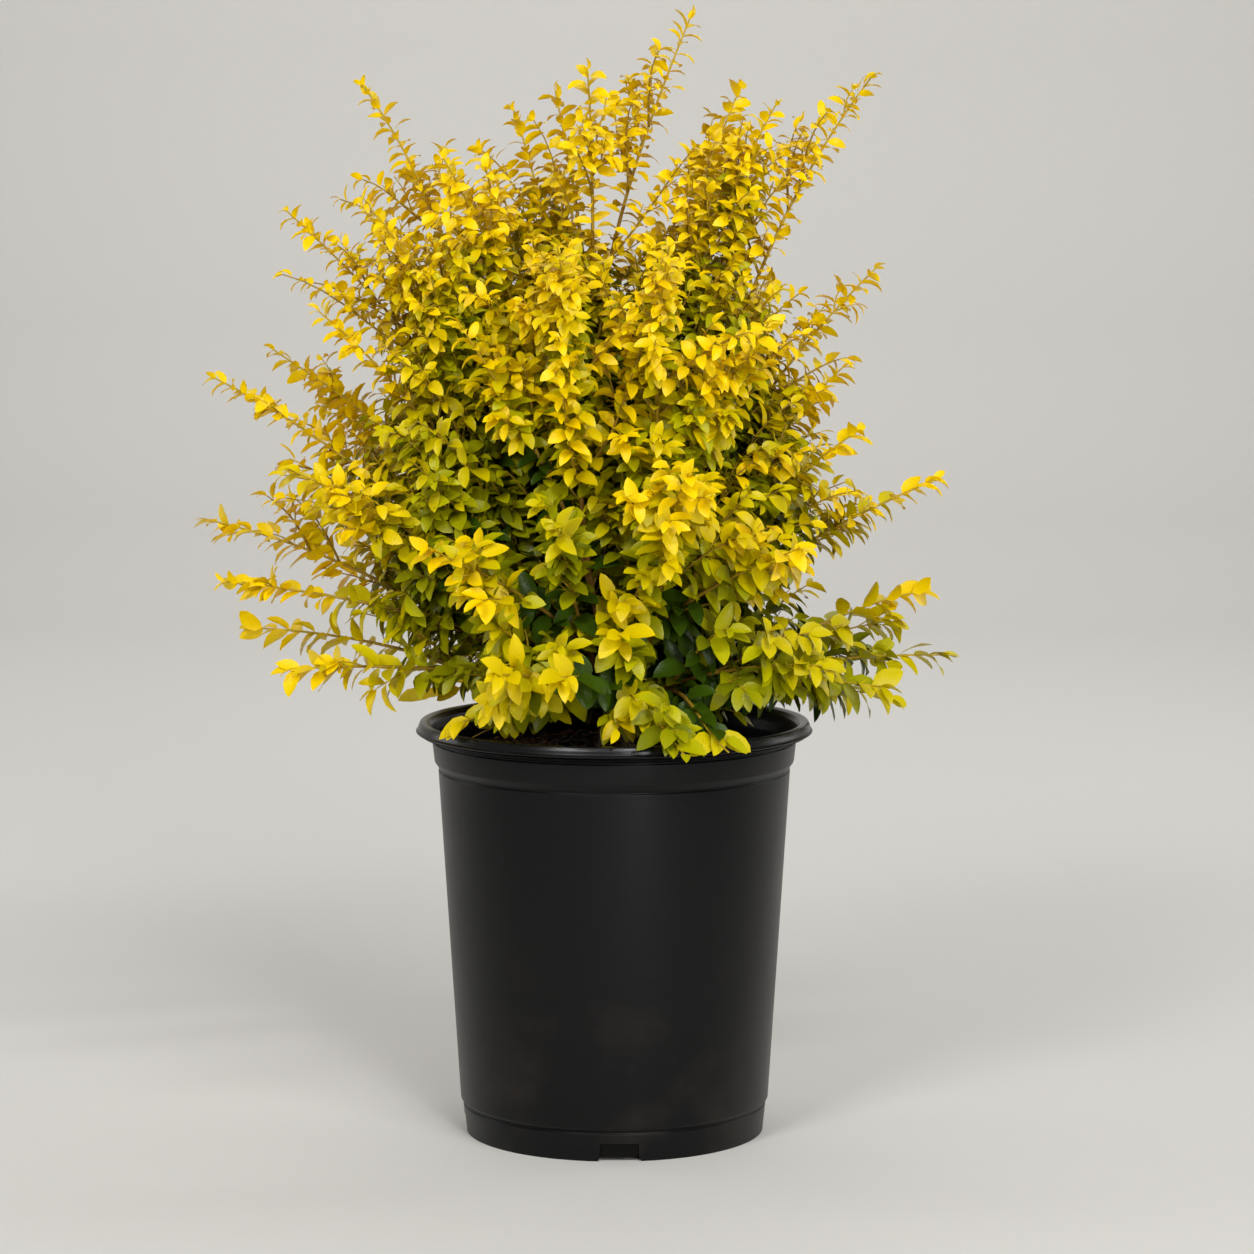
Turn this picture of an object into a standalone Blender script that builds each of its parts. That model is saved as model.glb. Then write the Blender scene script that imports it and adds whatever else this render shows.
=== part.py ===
"""Golden privet shrub growing in a black nursery pot.

Metres, +Z up. The origin lies on the ground at the centre of the pot's flat underside.
+X is to the right of the front view and -Y faces the viewer.
"""

import math
import random

import bmesh
import bpy
from mathutils import Matrix, Vector
from mathutils.bvhtree import BVHTree
from mathutils.kdtree import KDTree

MM = 0.001
GAP = 0.3 * MM  # between pieces that touch
WELD = 0.002 * MM

# Pot, in millimetres from its axis and from the ground
RIM_RADIUS = 140.0
RIM_TOP = 293.5
COLLAR_RADIUS = 127.0
COLLAR_TOP = 279.5
COLLAR_FOOT = 265.2
WALL_TOP_RADIUS, WALL_TOP = 124.3, 259.6
WALL_FOOT_RADIUS, WALL_FOOT = 109.4, 23.8
FOOT_TOP_RADIUS, FOOT_TOP = 107.7, 20.4
FOOT_RADIUS = 105.8
WALL = 1.8
FLOOR = 2.5
ROUND_STEPS = 48
DRAIN_SLOTS = 4
DRAIN_TURN = math.radians(2)
DRAIN_FOOT_WIDTH, DRAIN_TOP_WIDTH = 30.0, 27.0
DRAIN_HEIGHT = 12.8
DRAIN_DEPTH = 14.0

# Potting mix, level with the inside of the collar and a little higher at the stem
SOIL_TOP = 268.0
SOIL_RISE = 3.0
SOIL_FLAT_RADIUS = 30.0

# Trunk: a short leaning stem with a root flare, in millimetres above the potting mix
TRUNK_RINGS = ((0, 17.0), (3, 13.5), (9, 10.6), (20, 9.2), (55, 8.2), (90, 6.6), (112, 4.8))
TRUNK_LEAN = math.radians(4)
TRUNK_STRAIGHT = 9.0

# Boughs, in millimetres
BOUGH_RADIUS, BOUGH_TIP_RADIUS = 3.2, 2.2
BOUGH_RINGS = 4
FORK_SHARE = 0.3  # of the way to the tips, where the bough ends and its foliage begins
LOWEST_BOUGH, HIGHEST_BOUGH = 12.0, 104.0
BOUGH_STEP = 1.5
BOUGH_CLEARANCE = 1.4
BOUGH_OUT = 8.2  # from the trunk's axis to its surface, where the boughs come out
BOUGH_TURNS = (0, 18, -18, 36, -36)  # degrees aside, tried in turn where the way is not clear
LEADER = "foliage_top"
HEEL_SHARE = 0.16  # of the whole length, run at 45 degrees out of the trunk
HEEL_SHORTEST = 34.0
ARCH_SHARE = 0.38
ARCH_OVER = math.radians(14)  # how far a shoot has bowed below its own line at its tip
LEADER_SHARE = 0.3
FORK_STEP = 0.04  # of the first shoot, between the places where the others fork from it

# Foliage: one stem for each mass, which forks into shoots that end at these tips.
# Each tip is (across, deep, high) in millimetres from the origin, measured on the outline.
SIDE_MASSES = {
    "foliage_left_crest": ((-179, 60, 740), (-227, -20, 652), (-164, -95, 655)),
    "foliage_left_shoulder": ((-245, 75, 551), (-206, 30, 611), (-201, -80, 585)),
    "foliage_left_middle": ((-278, -20, 536), (-220, -90, 477)),
    "foliage_left_low": ((-292, 50, 431), (-268, -45, 396)),
    "foliage_left_foot": ((-259, 40, 354), (-224, -60, 337)),
    "foliage_top_left": ((-72, 70, 722), (-93, 20, 693), (-115, -85, 688)),
    "foliage_top": ((53, 10, 785), (-18, -65, 749), (-42, 70, 735)),
    "foliage_top_right": ((90, 70, 738), (111, -50, 725)),
    "foliage_right_crest": ((178, -20, 744), (151, 65, 672)),
    "foliage_right_shoulder": ((184, 20, 611), (124, -80, 642)),
    "foliage_right_middle": ((168, -50, 501), (163, 60, 539)),
    "foliage_right_low": ((224, -20, 465), (159, 75, 464)),
    "foliage_right_foot": ((227, -20, 342), (220, 45, 380), (184, -75, 327)),
}
# The masses that face the front and the back stand in rings: height, reach and compass angles
RINGS = {
    "foot": (320, 182, (-128, -88, -52, 52, 90, 128)),
    "waist": (455, 190, (-118, -62, 62, 118)),
    "chest": (605, 165, (-116, -64, 64, 116)),
}
RING_SPREAD = math.radians(13)
RING_LIFT = 26.0
SHORT_SHARE, SHORT_LIFT = 0.7, 50.0  # the third, shorter shoot of the masses at the foot

STEM_RADIUS, SHOOT_TIP_RADIUS = 2.2, 1.2
SHOOT_RINGS = 4
NODE_SPACING = 50.0
BARE_SHARE = 0.1
TWIG_LENGTH = 88.0
TWIG_RADIUS, TWIG_TIP_RADIUS = 1.3, 0.9
TWIG_ANGLE = math.radians(50)
TWIG_LIFT = 0.2
TWIG_SHORTEST = 22.0
TWIG_PAIR_SHARE = 0.6

# A leaf, larger than life because there are fewer
LEAF_LENGTH, LEAF_WIDTH = 64.0, 36.0
LEAF_SHOULDERS = ((0.3, 0.92), (0.66, 0.8))  # shares of its length and of its half width
LEAF_RISE, LEAF_DROOP = 2.2, 4.0
LEAF_ANGLE = math.radians(58)
LEAF_SUNK = 0.1
LEAF_INNER_SIZE, LEAF_TIP_SIZE = 1.1, 0.5
LEAF_UNEVEN = 0.1
LEAF_UP = 0.6
LEAF_TRIES = (1.0, 0.8, 0.64)  # a crowded leaf is smaller
JOINT_SHARE = 0.2  # of a leaf or twig, where it may touch the twig that bears it

SPACE_MARGIN = 1.6 * MM
LIMB_MARGIN = 1.0 * MM
SEED = 11


def material(name, colour, roughness):
    """A plain Principled material."""
    made = bpy.data.materials.new(name)
    made.use_nodes = True
    shader = made.node_tree.nodes["Principled BSDF"]
    shader.inputs["Base Color"].default_value = (*colour, 1)
    shader.inputs["Roughness"].default_value = roughness
    return made


def collection(name, parent):
    made = bpy.data.collections.new(name)
    parent.children.link(made)
    return made


def mesh_object(name, built, where):
    """An object from a bmesh, which is freed."""
    mesh = bpy.data.meshes.new(name)
    built.to_mesh(mesh)
    built.free()
    made = bpy.data.objects.new(name, mesh)
    where.objects.link(made)
    return made


def evaluated_mesh(obj):
    """The object's mesh with its modifiers or its curve's bevel worked in."""
    graph = bpy.context.evaluated_depsgraph_get()
    return bpy.data.meshes.new_from_object(obj.evaluated_get(graph))


def turned(name, outline, where):
    """A profile of (radius, height) in millimetres, turned round the Z axis."""
    profile = bmesh.new()
    corners = [profile.verts.new((radius * MM, 0, height * MM)) for radius, height in outline]
    for start, end in zip(corners, corners[1:]):
        profile.edges.new((start, end))
    made = mesh_object(name, profile, where)
    screw = made.modifiers.new("turn", "SCREW")
    screw.steps = screw.render_steps = ROUND_STEPS
    screw.use_merge_vertices = True
    screw.merge_threshold = WELD
    screw.use_normal_calculate = True
    return made


def inner_wall(clearance):
    """The pot's inside from its floor to its collar, drawn in by a clearance."""
    outer = ((FOOT_RADIUS, FLOOR), (WALL_TOP_RADIUS, WALL_TOP), (COLLAR_RADIUS, COLLAR_FOOT))
    inside = [(radius - WALL - clearance, height) for radius, height in outer]
    inside[0] = (inside[0][0], FLOOR + clearance)
    return inside


def add_pot(where, cutters):
    """Thin moulded wall with a rolled rim, a collar, a stepped foot and four drain slots."""
    rim = [
        (COLLAR_RADIUS - WALL + 0.4, COLLAR_TOP - 2.5),
        (RIM_RADIUS - 8.5, RIM_TOP - 1.3),
        (RIM_RADIUS - 4.5, RIM_TOP),
        (RIM_RADIUS - 1.4, RIM_TOP - 2.0),
        (RIM_RADIUS, RIM_TOP - 6.5),
        (RIM_RADIUS - 0.8, RIM_TOP - 9.1),
        (COLLAR_RADIUS + 2.6, COLLAR_TOP - 1.0),
        (COLLAR_RADIUS + 2.2, COLLAR_TOP - 5.5),
        (COLLAR_RADIUS, COLLAR_TOP - 7.1),
    ]
    outside = [
        (COLLAR_RADIUS, COLLAR_FOOT),
        (WALL_TOP_RADIUS, WALL_TOP),
        (WALL_FOOT_RADIUS, WALL_FOOT),
        (FOOT_TOP_RADIUS, FOOT_TOP),
        (FOOT_RADIUS, 0),
    ]
    pot = turned("pot", [(0, FLOOR), *inner_wall(0), *rim, *outside, (0, 0)], where)
    for number in range(DRAIN_SLOTS):
        slot = drain_cutter(number, cutters)
        cut = pot.modifiers.new(slot.name, "BOOLEAN")
        cut.operation = "DIFFERENCE"
        cut.object = slot
    return pot


def drain_cutter(number, where):
    """A block, a little wider at the ground, that opens the foot and the edge of the floor."""
    block = bmesh.new()
    bmesh.ops.create_cube(block, size=1)
    below = 1.0
    length = 2 * DRAIN_DEPTH
    for corner in block.verts:
        at_top = corner.co.z > 0
        width = DRAIN_TOP_WIDTH if at_top else DRAIN_FOOT_WIDTH
        height = DRAIN_HEIGHT if at_top else -below
        across, out = corner.co.y * width, FOOT_RADIUS + corner.co.x * length
        corner.co = Vector((out, across, height)) * MM
    turn = DRAIN_TURN - math.pi / 2 + number * math.tau / DRAIN_SLOTS
    block.transform(Matrix.Rotation(turn, 4, "Z"))
    made = mesh_object(f"drain_cutter_{number + 1}", block, where)
    made.hide_render = True
    made.display_type = "WIRE"
    return made


def add_soil(where):
    """The potting mix, a plug that fills the pot to just under its collar."""
    clear = GAP / MM
    side = inner_wall(clear)
    wall_radius = COLLAR_RADIUS - WALL - clear
    top = [
        (0, SOIL_TOP + SOIL_RISE),
        (SOIL_FLAT_RADIUS, SOIL_TOP + SOIL_RISE),
        (wall_radius, SOIL_TOP),
    ]
    return turned("potting_mix", [*top, *reversed(side), (0, side[0][1])], where)


def limb(name, points, radii, sides, where):
    """A tube of 3 or more sides through points, with a radius at each, as a closed mesh."""
    curve = bpy.data.curves.new(name, "CURVE")
    curve.dimensions = "3D"
    curve.use_fill_caps = True
    curve.bevel_depth = 1
    curve.bevel_resolution = max(0, (sides - 4) // 2)
    section = None
    if sides == 3:
        section = three_sided_section(where)
        curve.bevel_mode = "OBJECT"
        curve.bevel_object = section
    spline = curve.splines.new("POLY")
    spline.points.add(len(points) - 1)
    for control, point, radius in zip(spline.points, points, radii):
        control.co = (*point, 1)
        control.radius = radius
    tube = bpy.data.objects.new(name, curve)
    where.objects.link(tube)
    closed = bmesh.new()
    closed.from_mesh(evaluated_mesh(tube))
    bmesh.ops.remove_doubles(closed, verts=closed.verts, dist=WELD)
    bmesh.ops.recalc_face_normals(closed, faces=closed.faces)
    bpy.data.objects.remove(tube)
    if section:
        bpy.data.objects.remove(section)
    return mesh_object(name, closed, where)


def three_sided_section(where):
    """A triangle of unit radius, the cross-section of a twig."""
    outline = bpy.data.curves.new("twig_section", "CURVE")
    spline = outline.splines.new("POLY")
    spline.points.add(2)
    for number, corner in enumerate(spline.points):
        angle = math.tau * number / 3
        corner.co = (math.cos(angle), math.sin(angle), 0, 1)
    spline.use_cyclic_u = True
    made = bpy.data.objects.new("twig_section", outline)
    where.objects.link(made)
    return made


def bezier(corners, share):
    """The point at a share of a cubic Bezier curve."""
    a, b, c, d = corners
    rest = 1 - share
    return a * rest**3 + b * 3 * rest**2 * share + c * 3 * rest * share**2 + d * share**3


def place_on(joints, share):
    """The point at a share along joints that are evenly spread, and the heading there."""
    place = share * (len(joints) - 1)
    step = min(int(place), len(joints) - 2)
    start, end = joints[step : step + 2]
    return start.lerp(end, place - step), (end - start).normalized()


def ramp(start, end, count):
    """Evenly spaced values from start to end."""
    return [start + (end - start) * step / (count - 1) for step in range(count)]


def arching_heading(foot, tip):
    """The direction at a shoot's tip: outwards, a little flatter than the line to it."""
    line = tip - foot
    out = Vector((line.x, line.y, 0)).normalized()
    rise = math.atan2(line.z, math.hypot(line.x, line.y)) - ARCH_OVER
    return out * math.cos(rise) + Vector((0, 0, math.sin(rise)))


def bough_curve(foot, tip, turn=0.0):
    """Bezier corners of a bough that heels out of the trunk, climbs and arches to its tip."""
    line = tip - foot
    out = Matrix.Rotation(turn, 3, "Z") @ Vector((line.x, line.y, 0)).normalized()
    heel = max(line.length * HEEL_SHARE, HEEL_SHORTEST * MM)
    lift = (out + Vector((0, 0, 1))).normalized() * heel
    return foot, foot + lift, tip - arching_heading(foot, tip) * line.length * ARCH_SHARE, tip


def leader_curve(foot, tip):
    """Bezier corners of the bough that goes straight on from the trunk's tip."""
    line = tip - foot
    lean = (trunk_axis(HIGHEST_BOUGH) - trunk_axis(LOWEST_BOUGH)).normalized()
    pull = line.length * LEADER_SHARE
    return foot, foot + lean * pull, tip - arching_heading(foot, tip) * pull, tip


def shoot_curve(fork, heading, tip, foot):
    """Bezier corners of a shoot that goes on from its fork and arches to its tip."""
    length = (tip - fork).length
    over = arching_heading(foot, tip)
    return fork, fork + heading * length / 3, tip - over * length * ARCH_SHARE, tip


def masses():
    """Every mass of foliage by name, with the tips of its shoots in metres."""
    found = {name: [Vector(tip) * MM for tip in tips] for name, tips in SIDE_MASSES.items()}
    for ring, (height, reach, angles) in RINGS.items():
        for number, degrees in enumerate(angles):
            tips = []
            for side in (-1, 1, 0) if ring == "foot" else (-1, 1):
                angle = math.radians(degrees) + side * RING_SPREAD
                lift = side * RING_LIFT * (-1) ** number if side else SHORT_LIFT
                across = Vector((math.cos(angle), math.sin(angle), 0)) * reach
                across *= 1 if side else SHORT_SHARE
                tips.append((across + Vector((0, 0, height + lift))) * MM)
            facing = "front" if degrees < 0 else "back"
            found[f"foliage_{facing}_{ring}_{number + 1}"] = tips
    return found


def trunk_axis(height):
    """The trunk's centre at a height in millimetres above the potting mix."""
    lean = max(0.0, height - TRUNK_STRAIGHT) * math.tan(TRUNK_LEAN)
    base = SOIL_TOP + SOIL_RISE + GAP / MM
    return Vector((-lean, 0, base + height)) * MM


def add_trunk(name, where, extra=0.0):
    points = [trunk_axis(height) for height, _ in TRUNK_RINGS]
    radii = [radius * MM + extra for _, radius in TRUNK_RINGS]
    return limb(name, points, radii, 12, where)


def off_the_trunk(corners):
    """Points along a bough from where it comes out of the trunk to its fork."""
    points = [bezier(corners, share) for share in ramp(0, FORK_SHARE, 30)]
    return [p for p in points if (p - corners[0]).xy.length > BOUGH_OUT * MM]


def clear_of(points, others):
    """Whether a path stays clear of the paths laid before it."""
    least = (2 * BOUGH_RADIUS + BOUGH_CLEARANCE) * MM
    return all((point - other).length > least for point in points for other in others)


def lay_boughs(tips_of):
    """Each bough's path, its foot on the trunk at the lowest height where it is clear.

    The flattest boughs are laid first, so that they leave the trunk lowest, and those that are
    equally flat to a hundredth of a degree in the order of the list.
    """
    centre = {name: sum(tips, Vector()) / len(tips) for name, tips in tips_of.items()}

    def steepness(name):
        line = centre[name] - trunk_axis(0)
        return round(math.degrees(math.atan2(line.z, math.hypot(line.x, line.y))), 2)

    top = trunk_axis(TRUNK_RINGS[-1][0])
    laid = {LEADER: leader_curve(top, centre[LEADER])}
    taken = [bezier(laid[LEADER], share) for share in ramp(0, FORK_SHARE, 30)]
    steps = int((HIGHEST_BOUGH - LOWEST_BOUGH) / BOUGH_STEP)
    for name in sorted((name for name in centre if name != LEADER), key=steepness):
        for step in range(steps * len(BOUGH_TURNS)):
            height = LOWEST_BOUGH + step // len(BOUGH_TURNS) * BOUGH_STEP
            turn = math.radians(BOUGH_TURNS[step % len(BOUGH_TURNS)])
            laid[name] = bough_curve(trunk_axis(height), centre[name], turn)
            points = off_the_trunk(laid[name])
            if clear_of(points, taken):
                break
        else:
            raise ValueError(f"no clear way for the bough of {name}")
        taken += points
    return laid


def fork_of(corners):
    """Where a bough ends, and its heading there."""
    fork = bezier(corners, FORK_SHARE)
    return fork, (fork - bezier(corners, FORK_SHARE - 0.02)).normalized()


def add_boughs(paths, trunk_cutter, where):
    """One tapering limb to each mass, its foot cut to the trunk's own surface."""
    boughs = []
    for name, corners in paths.items():
        points = [bezier(corners, share) for share in ramp(0, FORK_SHARE, BOUGH_RINGS)]
        radii = [radius * MM for radius in ramp(BOUGH_RADIUS, BOUGH_TIP_RADIUS, BOUGH_RINGS)]
        bough = limb(name.replace("foliage", "bough"), points, radii, 6, where)
        cut = bough.modifiers.new("trunk", "BOOLEAN")
        cut.operation = "DIFFERENCE"
        cut.object = trunk_cutter
        boughs.append(bough)
    return boughs


def axes_along(heading, up):
    """A turn that takes +X to the heading, with +Z as near to up as it can be."""
    ahead = heading.normalized()
    side = up.cross(ahead).normalized()
    return Matrix((ahead, side, ahead.cross(side))).transposed().to_4x4()


def leaf(root, heading, up, size):
    """An arched blade of 8 faces with its root at a point and a straight keel under it."""
    half_width, rise = LEAF_WIDTH / LEAF_LENGTH / 2, LEAF_RISE / LEAF_LENGTH
    outline = [(0, 0, 0), (1, 0, -LEAF_DROOP / LEAF_LENGTH)]
    for along, width in LEAF_SHOULDERS:
        outline += [(along, side * width * half_width, rise) for side in (1, -1)]
    blade = bmesh.new()
    base, tip, left, right, far_left, far_right = map(blade.verts.new, outline)
    upper = (
        (base, right, left),
        (left, right, far_right),
        (left, far_right, far_left),
        (far_left, far_right, tip),
    )
    lower = ((tip, left, far_left), (tip, base, left), (tip, right, base), (tip, far_right, right))
    for corners in (*upper, *lower):
        blade.faces.new(corners)
    scale = Matrix.Scale(LEAF_LENGTH * size * MM, 4)
    blade.transform(Matrix.Translation(root) @ axes_along(heading, up) @ scale)
    return blade


def twig(start, end):
    """A straight three-sided twig."""
    rod = bmesh.new()
    line = end - start
    radii = {"radius1": TWIG_RADIUS * MM, "radius2": TWIG_TIP_RADIUS * MM}
    bmesh.ops.create_cone(rod, segments=3, depth=line.length, cap_ends=True, **radii)
    lay = line.to_track_quat("Z", "Y").to_matrix().to_4x4()
    rod.transform(Matrix.Translation((start + end) / 2) @ lay)
    return rod


class Spaces:
    """Says which mass a point belongs to, and what is in the way of a leaf or twig."""

    def __init__(self, shoots, obstacles):
        self.trees = {}
        for name, curves in shoots.items():
            points = [bezier(c, share) for c in curves for share in ramp(0, 1, 60)]
            tree = KDTree(len(points))
            for number, point in enumerate(points):
                tree.insert(point, number)
            tree.balance()
            self.trees[name] = tree
        self.obstacles = obstacles

    def nearest_other(self, name, point):
        """How far a point is from the nearest shoot of another mass."""
        return min(tree.find(point)[2] for other, tree in self.trees.items() if other != name)

    def free(self, name, piece):
        """Whether a piece keeps to its own mass's space and off the limbs and the pot."""
        points = [corner.co for corner in piece.verts]
        points += [(edge.verts[0].co + edge.verts[1].co) / 2 for edge in piece.edges]
        own = self.trees[name]
        if any(own.find(p)[2] + SPACE_MARGIN > self.nearest_other(name, p) for p in points):
            return False
        shape = BVHTree.FromBMesh(piece)
        return not any(shape.overlap(solid) for solid in self.obstacles)


def swollen_tree(obj):
    """A search tree of an object's surface, pushed out by the margin kept to limbs."""
    shape = bmesh.new()
    shape.from_mesh(evaluated_mesh(obj))
    shape.normal_update()
    for corner in shape.verts:
        corner.co += corner.normal * LIMB_MARGIN
    tree = BVHTree.FromBMesh(shape)
    shape.free()
    return tree


def side_headings(heading, turn, angle, lift):
    """Two headings on opposite sides of a twig, at an angle to it and lifted a little."""
    spread = axes_along(heading, Vector((0.13, 0.21, 1)))
    found = []
    for half in (0, math.pi):
        out = spread @ Vector((0, math.cos(turn + half), math.sin(turn + half)))
        aim = heading * math.cos(angle) + out * math.sin(angle)
        found.append((aim + Vector((0, 0, lift))).normalized())
    return found


class Mass:
    """One mass in the making. What is added to it keeps to the mass's own space."""

    def __init__(self, name, spaces):
        self.name, self.spaces = name, spaces
        self.dice = random.Random(SEED + sum(map(ord, name)))
        self.parts = collection(name + "_parts", bpy.context.scene.collection)
        self.outer_shapes = []  # what a new leaf or twig must not cross

    def add(self, piece, probe):
        """Adds a piece, if it keeps to the mass's space and its outer part crosses nothing."""
        shape = BVHTree.FromBMesh(probe)
        probe.free()
        good = self.spaces.free(self.name, piece)
        good = good and not any(shape.overlap(other) for other in self.outer_shapes)
        if good:
            mesh_object("piece", piece, self.parts)
            self.outer_shapes.append(shape)
        else:
            piece.free()
        return good

    def keep_clear_of(self, shoot):
        shape = bmesh.new()
        shape.from_mesh(shoot.data)
        self.outer_shapes.append(BVHTree.FromBMesh(shape))
        shape.free()

    def leaf_size(self, share):
        """The size of a leaf, smaller towards the shoot's tip."""
        even = LEAF_INNER_SIZE + (LEAF_TIP_SIZE - LEAF_INNER_SIZE) * share
        return even * self.dice.uniform(1 - LEAF_UNEVEN, 1 + LEAF_UNEVEN)

    def add_leaf(self, point, heading, size):
        """A leaf on a twig, smaller where it is crowded."""
        turn = self.dice.uniform(0, math.tau)
        facing = Vector((math.cos(turn), math.sin(turn), LEAF_UP))
        for shrunk in LEAF_TRIES:
            reach = LEAF_LENGTH * size * shrunk * MM
            blade = leaf(point - heading * LEAF_SUNK * MM, heading, facing, size * shrunk)
            root = point + heading * reach * JOINT_SHARE
            probe = leaf(root, heading, facing, size * shrunk * (1 - JOINT_SHARE))
            if self.add(blade, probe):
                break

    def add_pair(self, point, heading, turn, share):
        for aim in side_headings(heading, turn, LEAF_ANGLE, 0.1):
            self.add_leaf(point, aim, self.leaf_size(share))

    def add_twig(self, point, aim, reach, share):
        """A side twig that ends in a leaf and has one pair on the way, if it has room."""
        end = point + aim * reach * MM
        if self.add(twig(point, end), twig(point.lerp(end, JOINT_SHARE), end)):
            self.add_leaf(end - aim * 2 * MM, aim, self.leaf_size(share))
            turn = self.dice.uniform(0, math.pi)
            self.add_pair(point.lerp(end, TWIG_PAIR_SHARE), aim, turn, share)

    def grow(self, joints):
        """Leaves in pairs along a shoot, each pair crosswise to the last, and side twigs.

        A twig stands between pairs, on alternate sides, and gets shorter towards the tip.
        """
        length = sum((b - a).length for a, b in zip(joints, joints[1:]))
        nodes = int(length * (1 - BARE_SHARE) / (NODE_SPACING * MM))
        for number in reversed(range(nodes)):
            share = BARE_SHARE + (1 - BARE_SHARE) * (number + 0.5) / nodes
            turn = number * math.pi / 2 + self.dice.uniform(-0.4, 0.4)
            point, heading = place_on(joints, share)
            self.add_pair(point, heading, turn, share)
            share -= 0.3 * (1 - BARE_SHARE) / nodes
            reach = TWIG_LENGTH * (1 - share) ** 0.8 * self.dice.uniform(0.75, 1.1)
            if reach > TWIG_SHORTEST:
                point, heading = place_on(joints, share)
                across = side_headings(heading, turn + math.pi / 2, TWIG_ANGLE, TWIG_LIFT)
                self.add_twig(point, across[number // 2 % 2], reach, share)


def shoot_joints(curve):
    """Evenly spread joints of a shoot, which ends a leaf's length short of the mass's reach."""
    length = (curve[3] - curve[0]).length
    end = 1 - LEAF_LENGTH * LEAF_TIP_SIZE * MM / length
    return [bezier(curve, share) for share in ramp(0, end, SHOOT_RINGS)]


def add_mass(name, curves, spaces, where):
    """One mass: its forked stem with twigs and leaves, fused into one solid."""
    mass = Mass(name, spaces)
    shoots = [shoot_joints(curve) for curve in curves]
    radii = [radius * MM for radius in ramp(STEM_RADIUS, SHOOT_TIP_RADIUS, SHOOT_RINGS)]
    stem = limb(name, shoots[0], radii, 3, where)
    mass.keep_clear_of(stem)
    for joints in shoots[1:]:
        mass.keep_clear_of(limb("shoot", joints, radii, 3, mass.parts))
    for curve, joints in zip(curves, shoots):
        last = curve[3] - joints[-1]
        mass.add_leaf(joints[-1], last.normalized(), last.length / MM / LEAF_LENGTH)
    for joints in shoots:
        mass.grow(joints)
    fuse(stem, mass.parts)
    return stem


def keep_outer_surface(shape):
    """Leaves the largest surface, so that sealed hollows are filled and loose scraps dropped."""
    islands, seen = [], set()
    for start in shape.faces:
        if start in seen:
            continue
        island, waiting = [], [start]
        seen.add(start)
        while waiting:
            face = waiting.pop()
            island.append(face)
            for other in {near for edge in face.edges for near in edge.link_faces} - seen:
                seen.add(other)
                waiting.append(other)
        islands.append(island)
    islands.sort(key=len)
    scraps = [face for island in islands[:-1] for face in island]
    bmesh.ops.delete(shape, geom=scraps, context="FACES")


def fuse(body, parts):
    """Joins everything in a collection to a body by one union, and removes the collection."""
    union = body.modifiers.new("fuse", "BOOLEAN")
    union.operation = "UNION"
    union.operand_type = "COLLECTION"
    union.collection = parts
    union.solver = "MANIFOLD"
    joined = bmesh.new()
    joined.from_mesh(evaluated_mesh(body))
    keep_outer_surface(joined)
    body.modifiers.clear()
    joined.to_mesh(body.data)
    joined.free()
    for piece in list(parts.objects):
        bpy.data.objects.remove(piece)
    bpy.data.collections.remove(parts)


def stem_start(fork, heading, tip, foot):
    """Where a stem begins, so that its flat end, tilted by its first run, clears the bough by a gap."""
    run = bezier(shoot_curve(fork, heading, tip, foot), 1 / (SHOOT_RINGS - 1)) - fork
    return fork + heading * (GAP + STEM_RADIUS * MM * math.sin(heading.angle(run)))


def shoots_of(tips_of, paths):
    """The Bezier corners of every shoot, a gap above its bough and forking just past it."""
    found = {}
    for name, corners in paths.items():
        fork, heading = fork_of(corners)
        first, *others = tips_of[name]
        start = stem_start(fork, heading, first, corners[0])
        curves = [shoot_curve(start, heading, first, corners[0])]
        for number, tip in enumerate(others, 1):
            start = bezier(curves[0], number * FORK_STEP)
            curves.append(shoot_curve(start, heading, tip, corners[0]))
        found[name] = curves
    return found


def main():
    for old in list(bpy.data.objects):
        bpy.data.objects.remove(old)
    scene = bpy.context.scene.collection
    shrub = collection("potted_privet", scene)
    cutters = collection("cutters", scene)

    plastic = material("black_polythene", (0.012, 0.012, 0.013), 0.45)
    mix = material("bark_potting_mix", (0.045, 0.022, 0.012), 0.95)
    bark = material("privet_bark", (0.16, 0.085, 0.03), 0.75)
    leaves = material("golden_leaves", (0.62, 0.5, 0.03), 0.45)

    pot, soil = add_pot(shrub, cutters), add_soil(shrub)
    pot.data.materials.append(plastic)
    soil.data.materials.append(mix)
    trunk = add_trunk("trunk", shrub)
    trunk_cutter = add_trunk("trunk_cutter", cutters, GAP)
    trunk_cutter.hide_render = True
    trunk_cutter.display_type = "WIRE"

    tips_of = masses()
    paths = lay_boughs(tips_of)
    boughs = add_boughs(paths, trunk_cutter, shrub)
    for wood in (trunk, *boughs):
        wood.data.materials.append(bark)

    shoots = shoots_of(tips_of, paths)
    bpy.context.view_layer.update()
    obstacles = [swollen_tree(solid) for solid in (pot, soil, trunk, *boughs)]
    spaces = Spaces(shoots, obstacles)
    for name, curves in shoots.items():
        mass = add_mass(name, curves, spaces, shrub)
        mass.data.materials.clear()
        mass.data.materials.append(leaves)


main()
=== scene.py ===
"""Golden privet shrub in a black nursery pot, dressed round its packed solids.

Metres, +Z up. The origin lies on the ground at the centre of the pot's underside, and -Y faces the
viewer. The crown grows by the rule of its solids: a short trunk, a bough to each mass of foliage, and
shoots that fork from the bough's end and arch to the mass's tips. Here every shoot goes on to bear side
shoots, twigs and pairs of leaves.
"""

import functools
import math
from typing import NamedTuple

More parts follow.
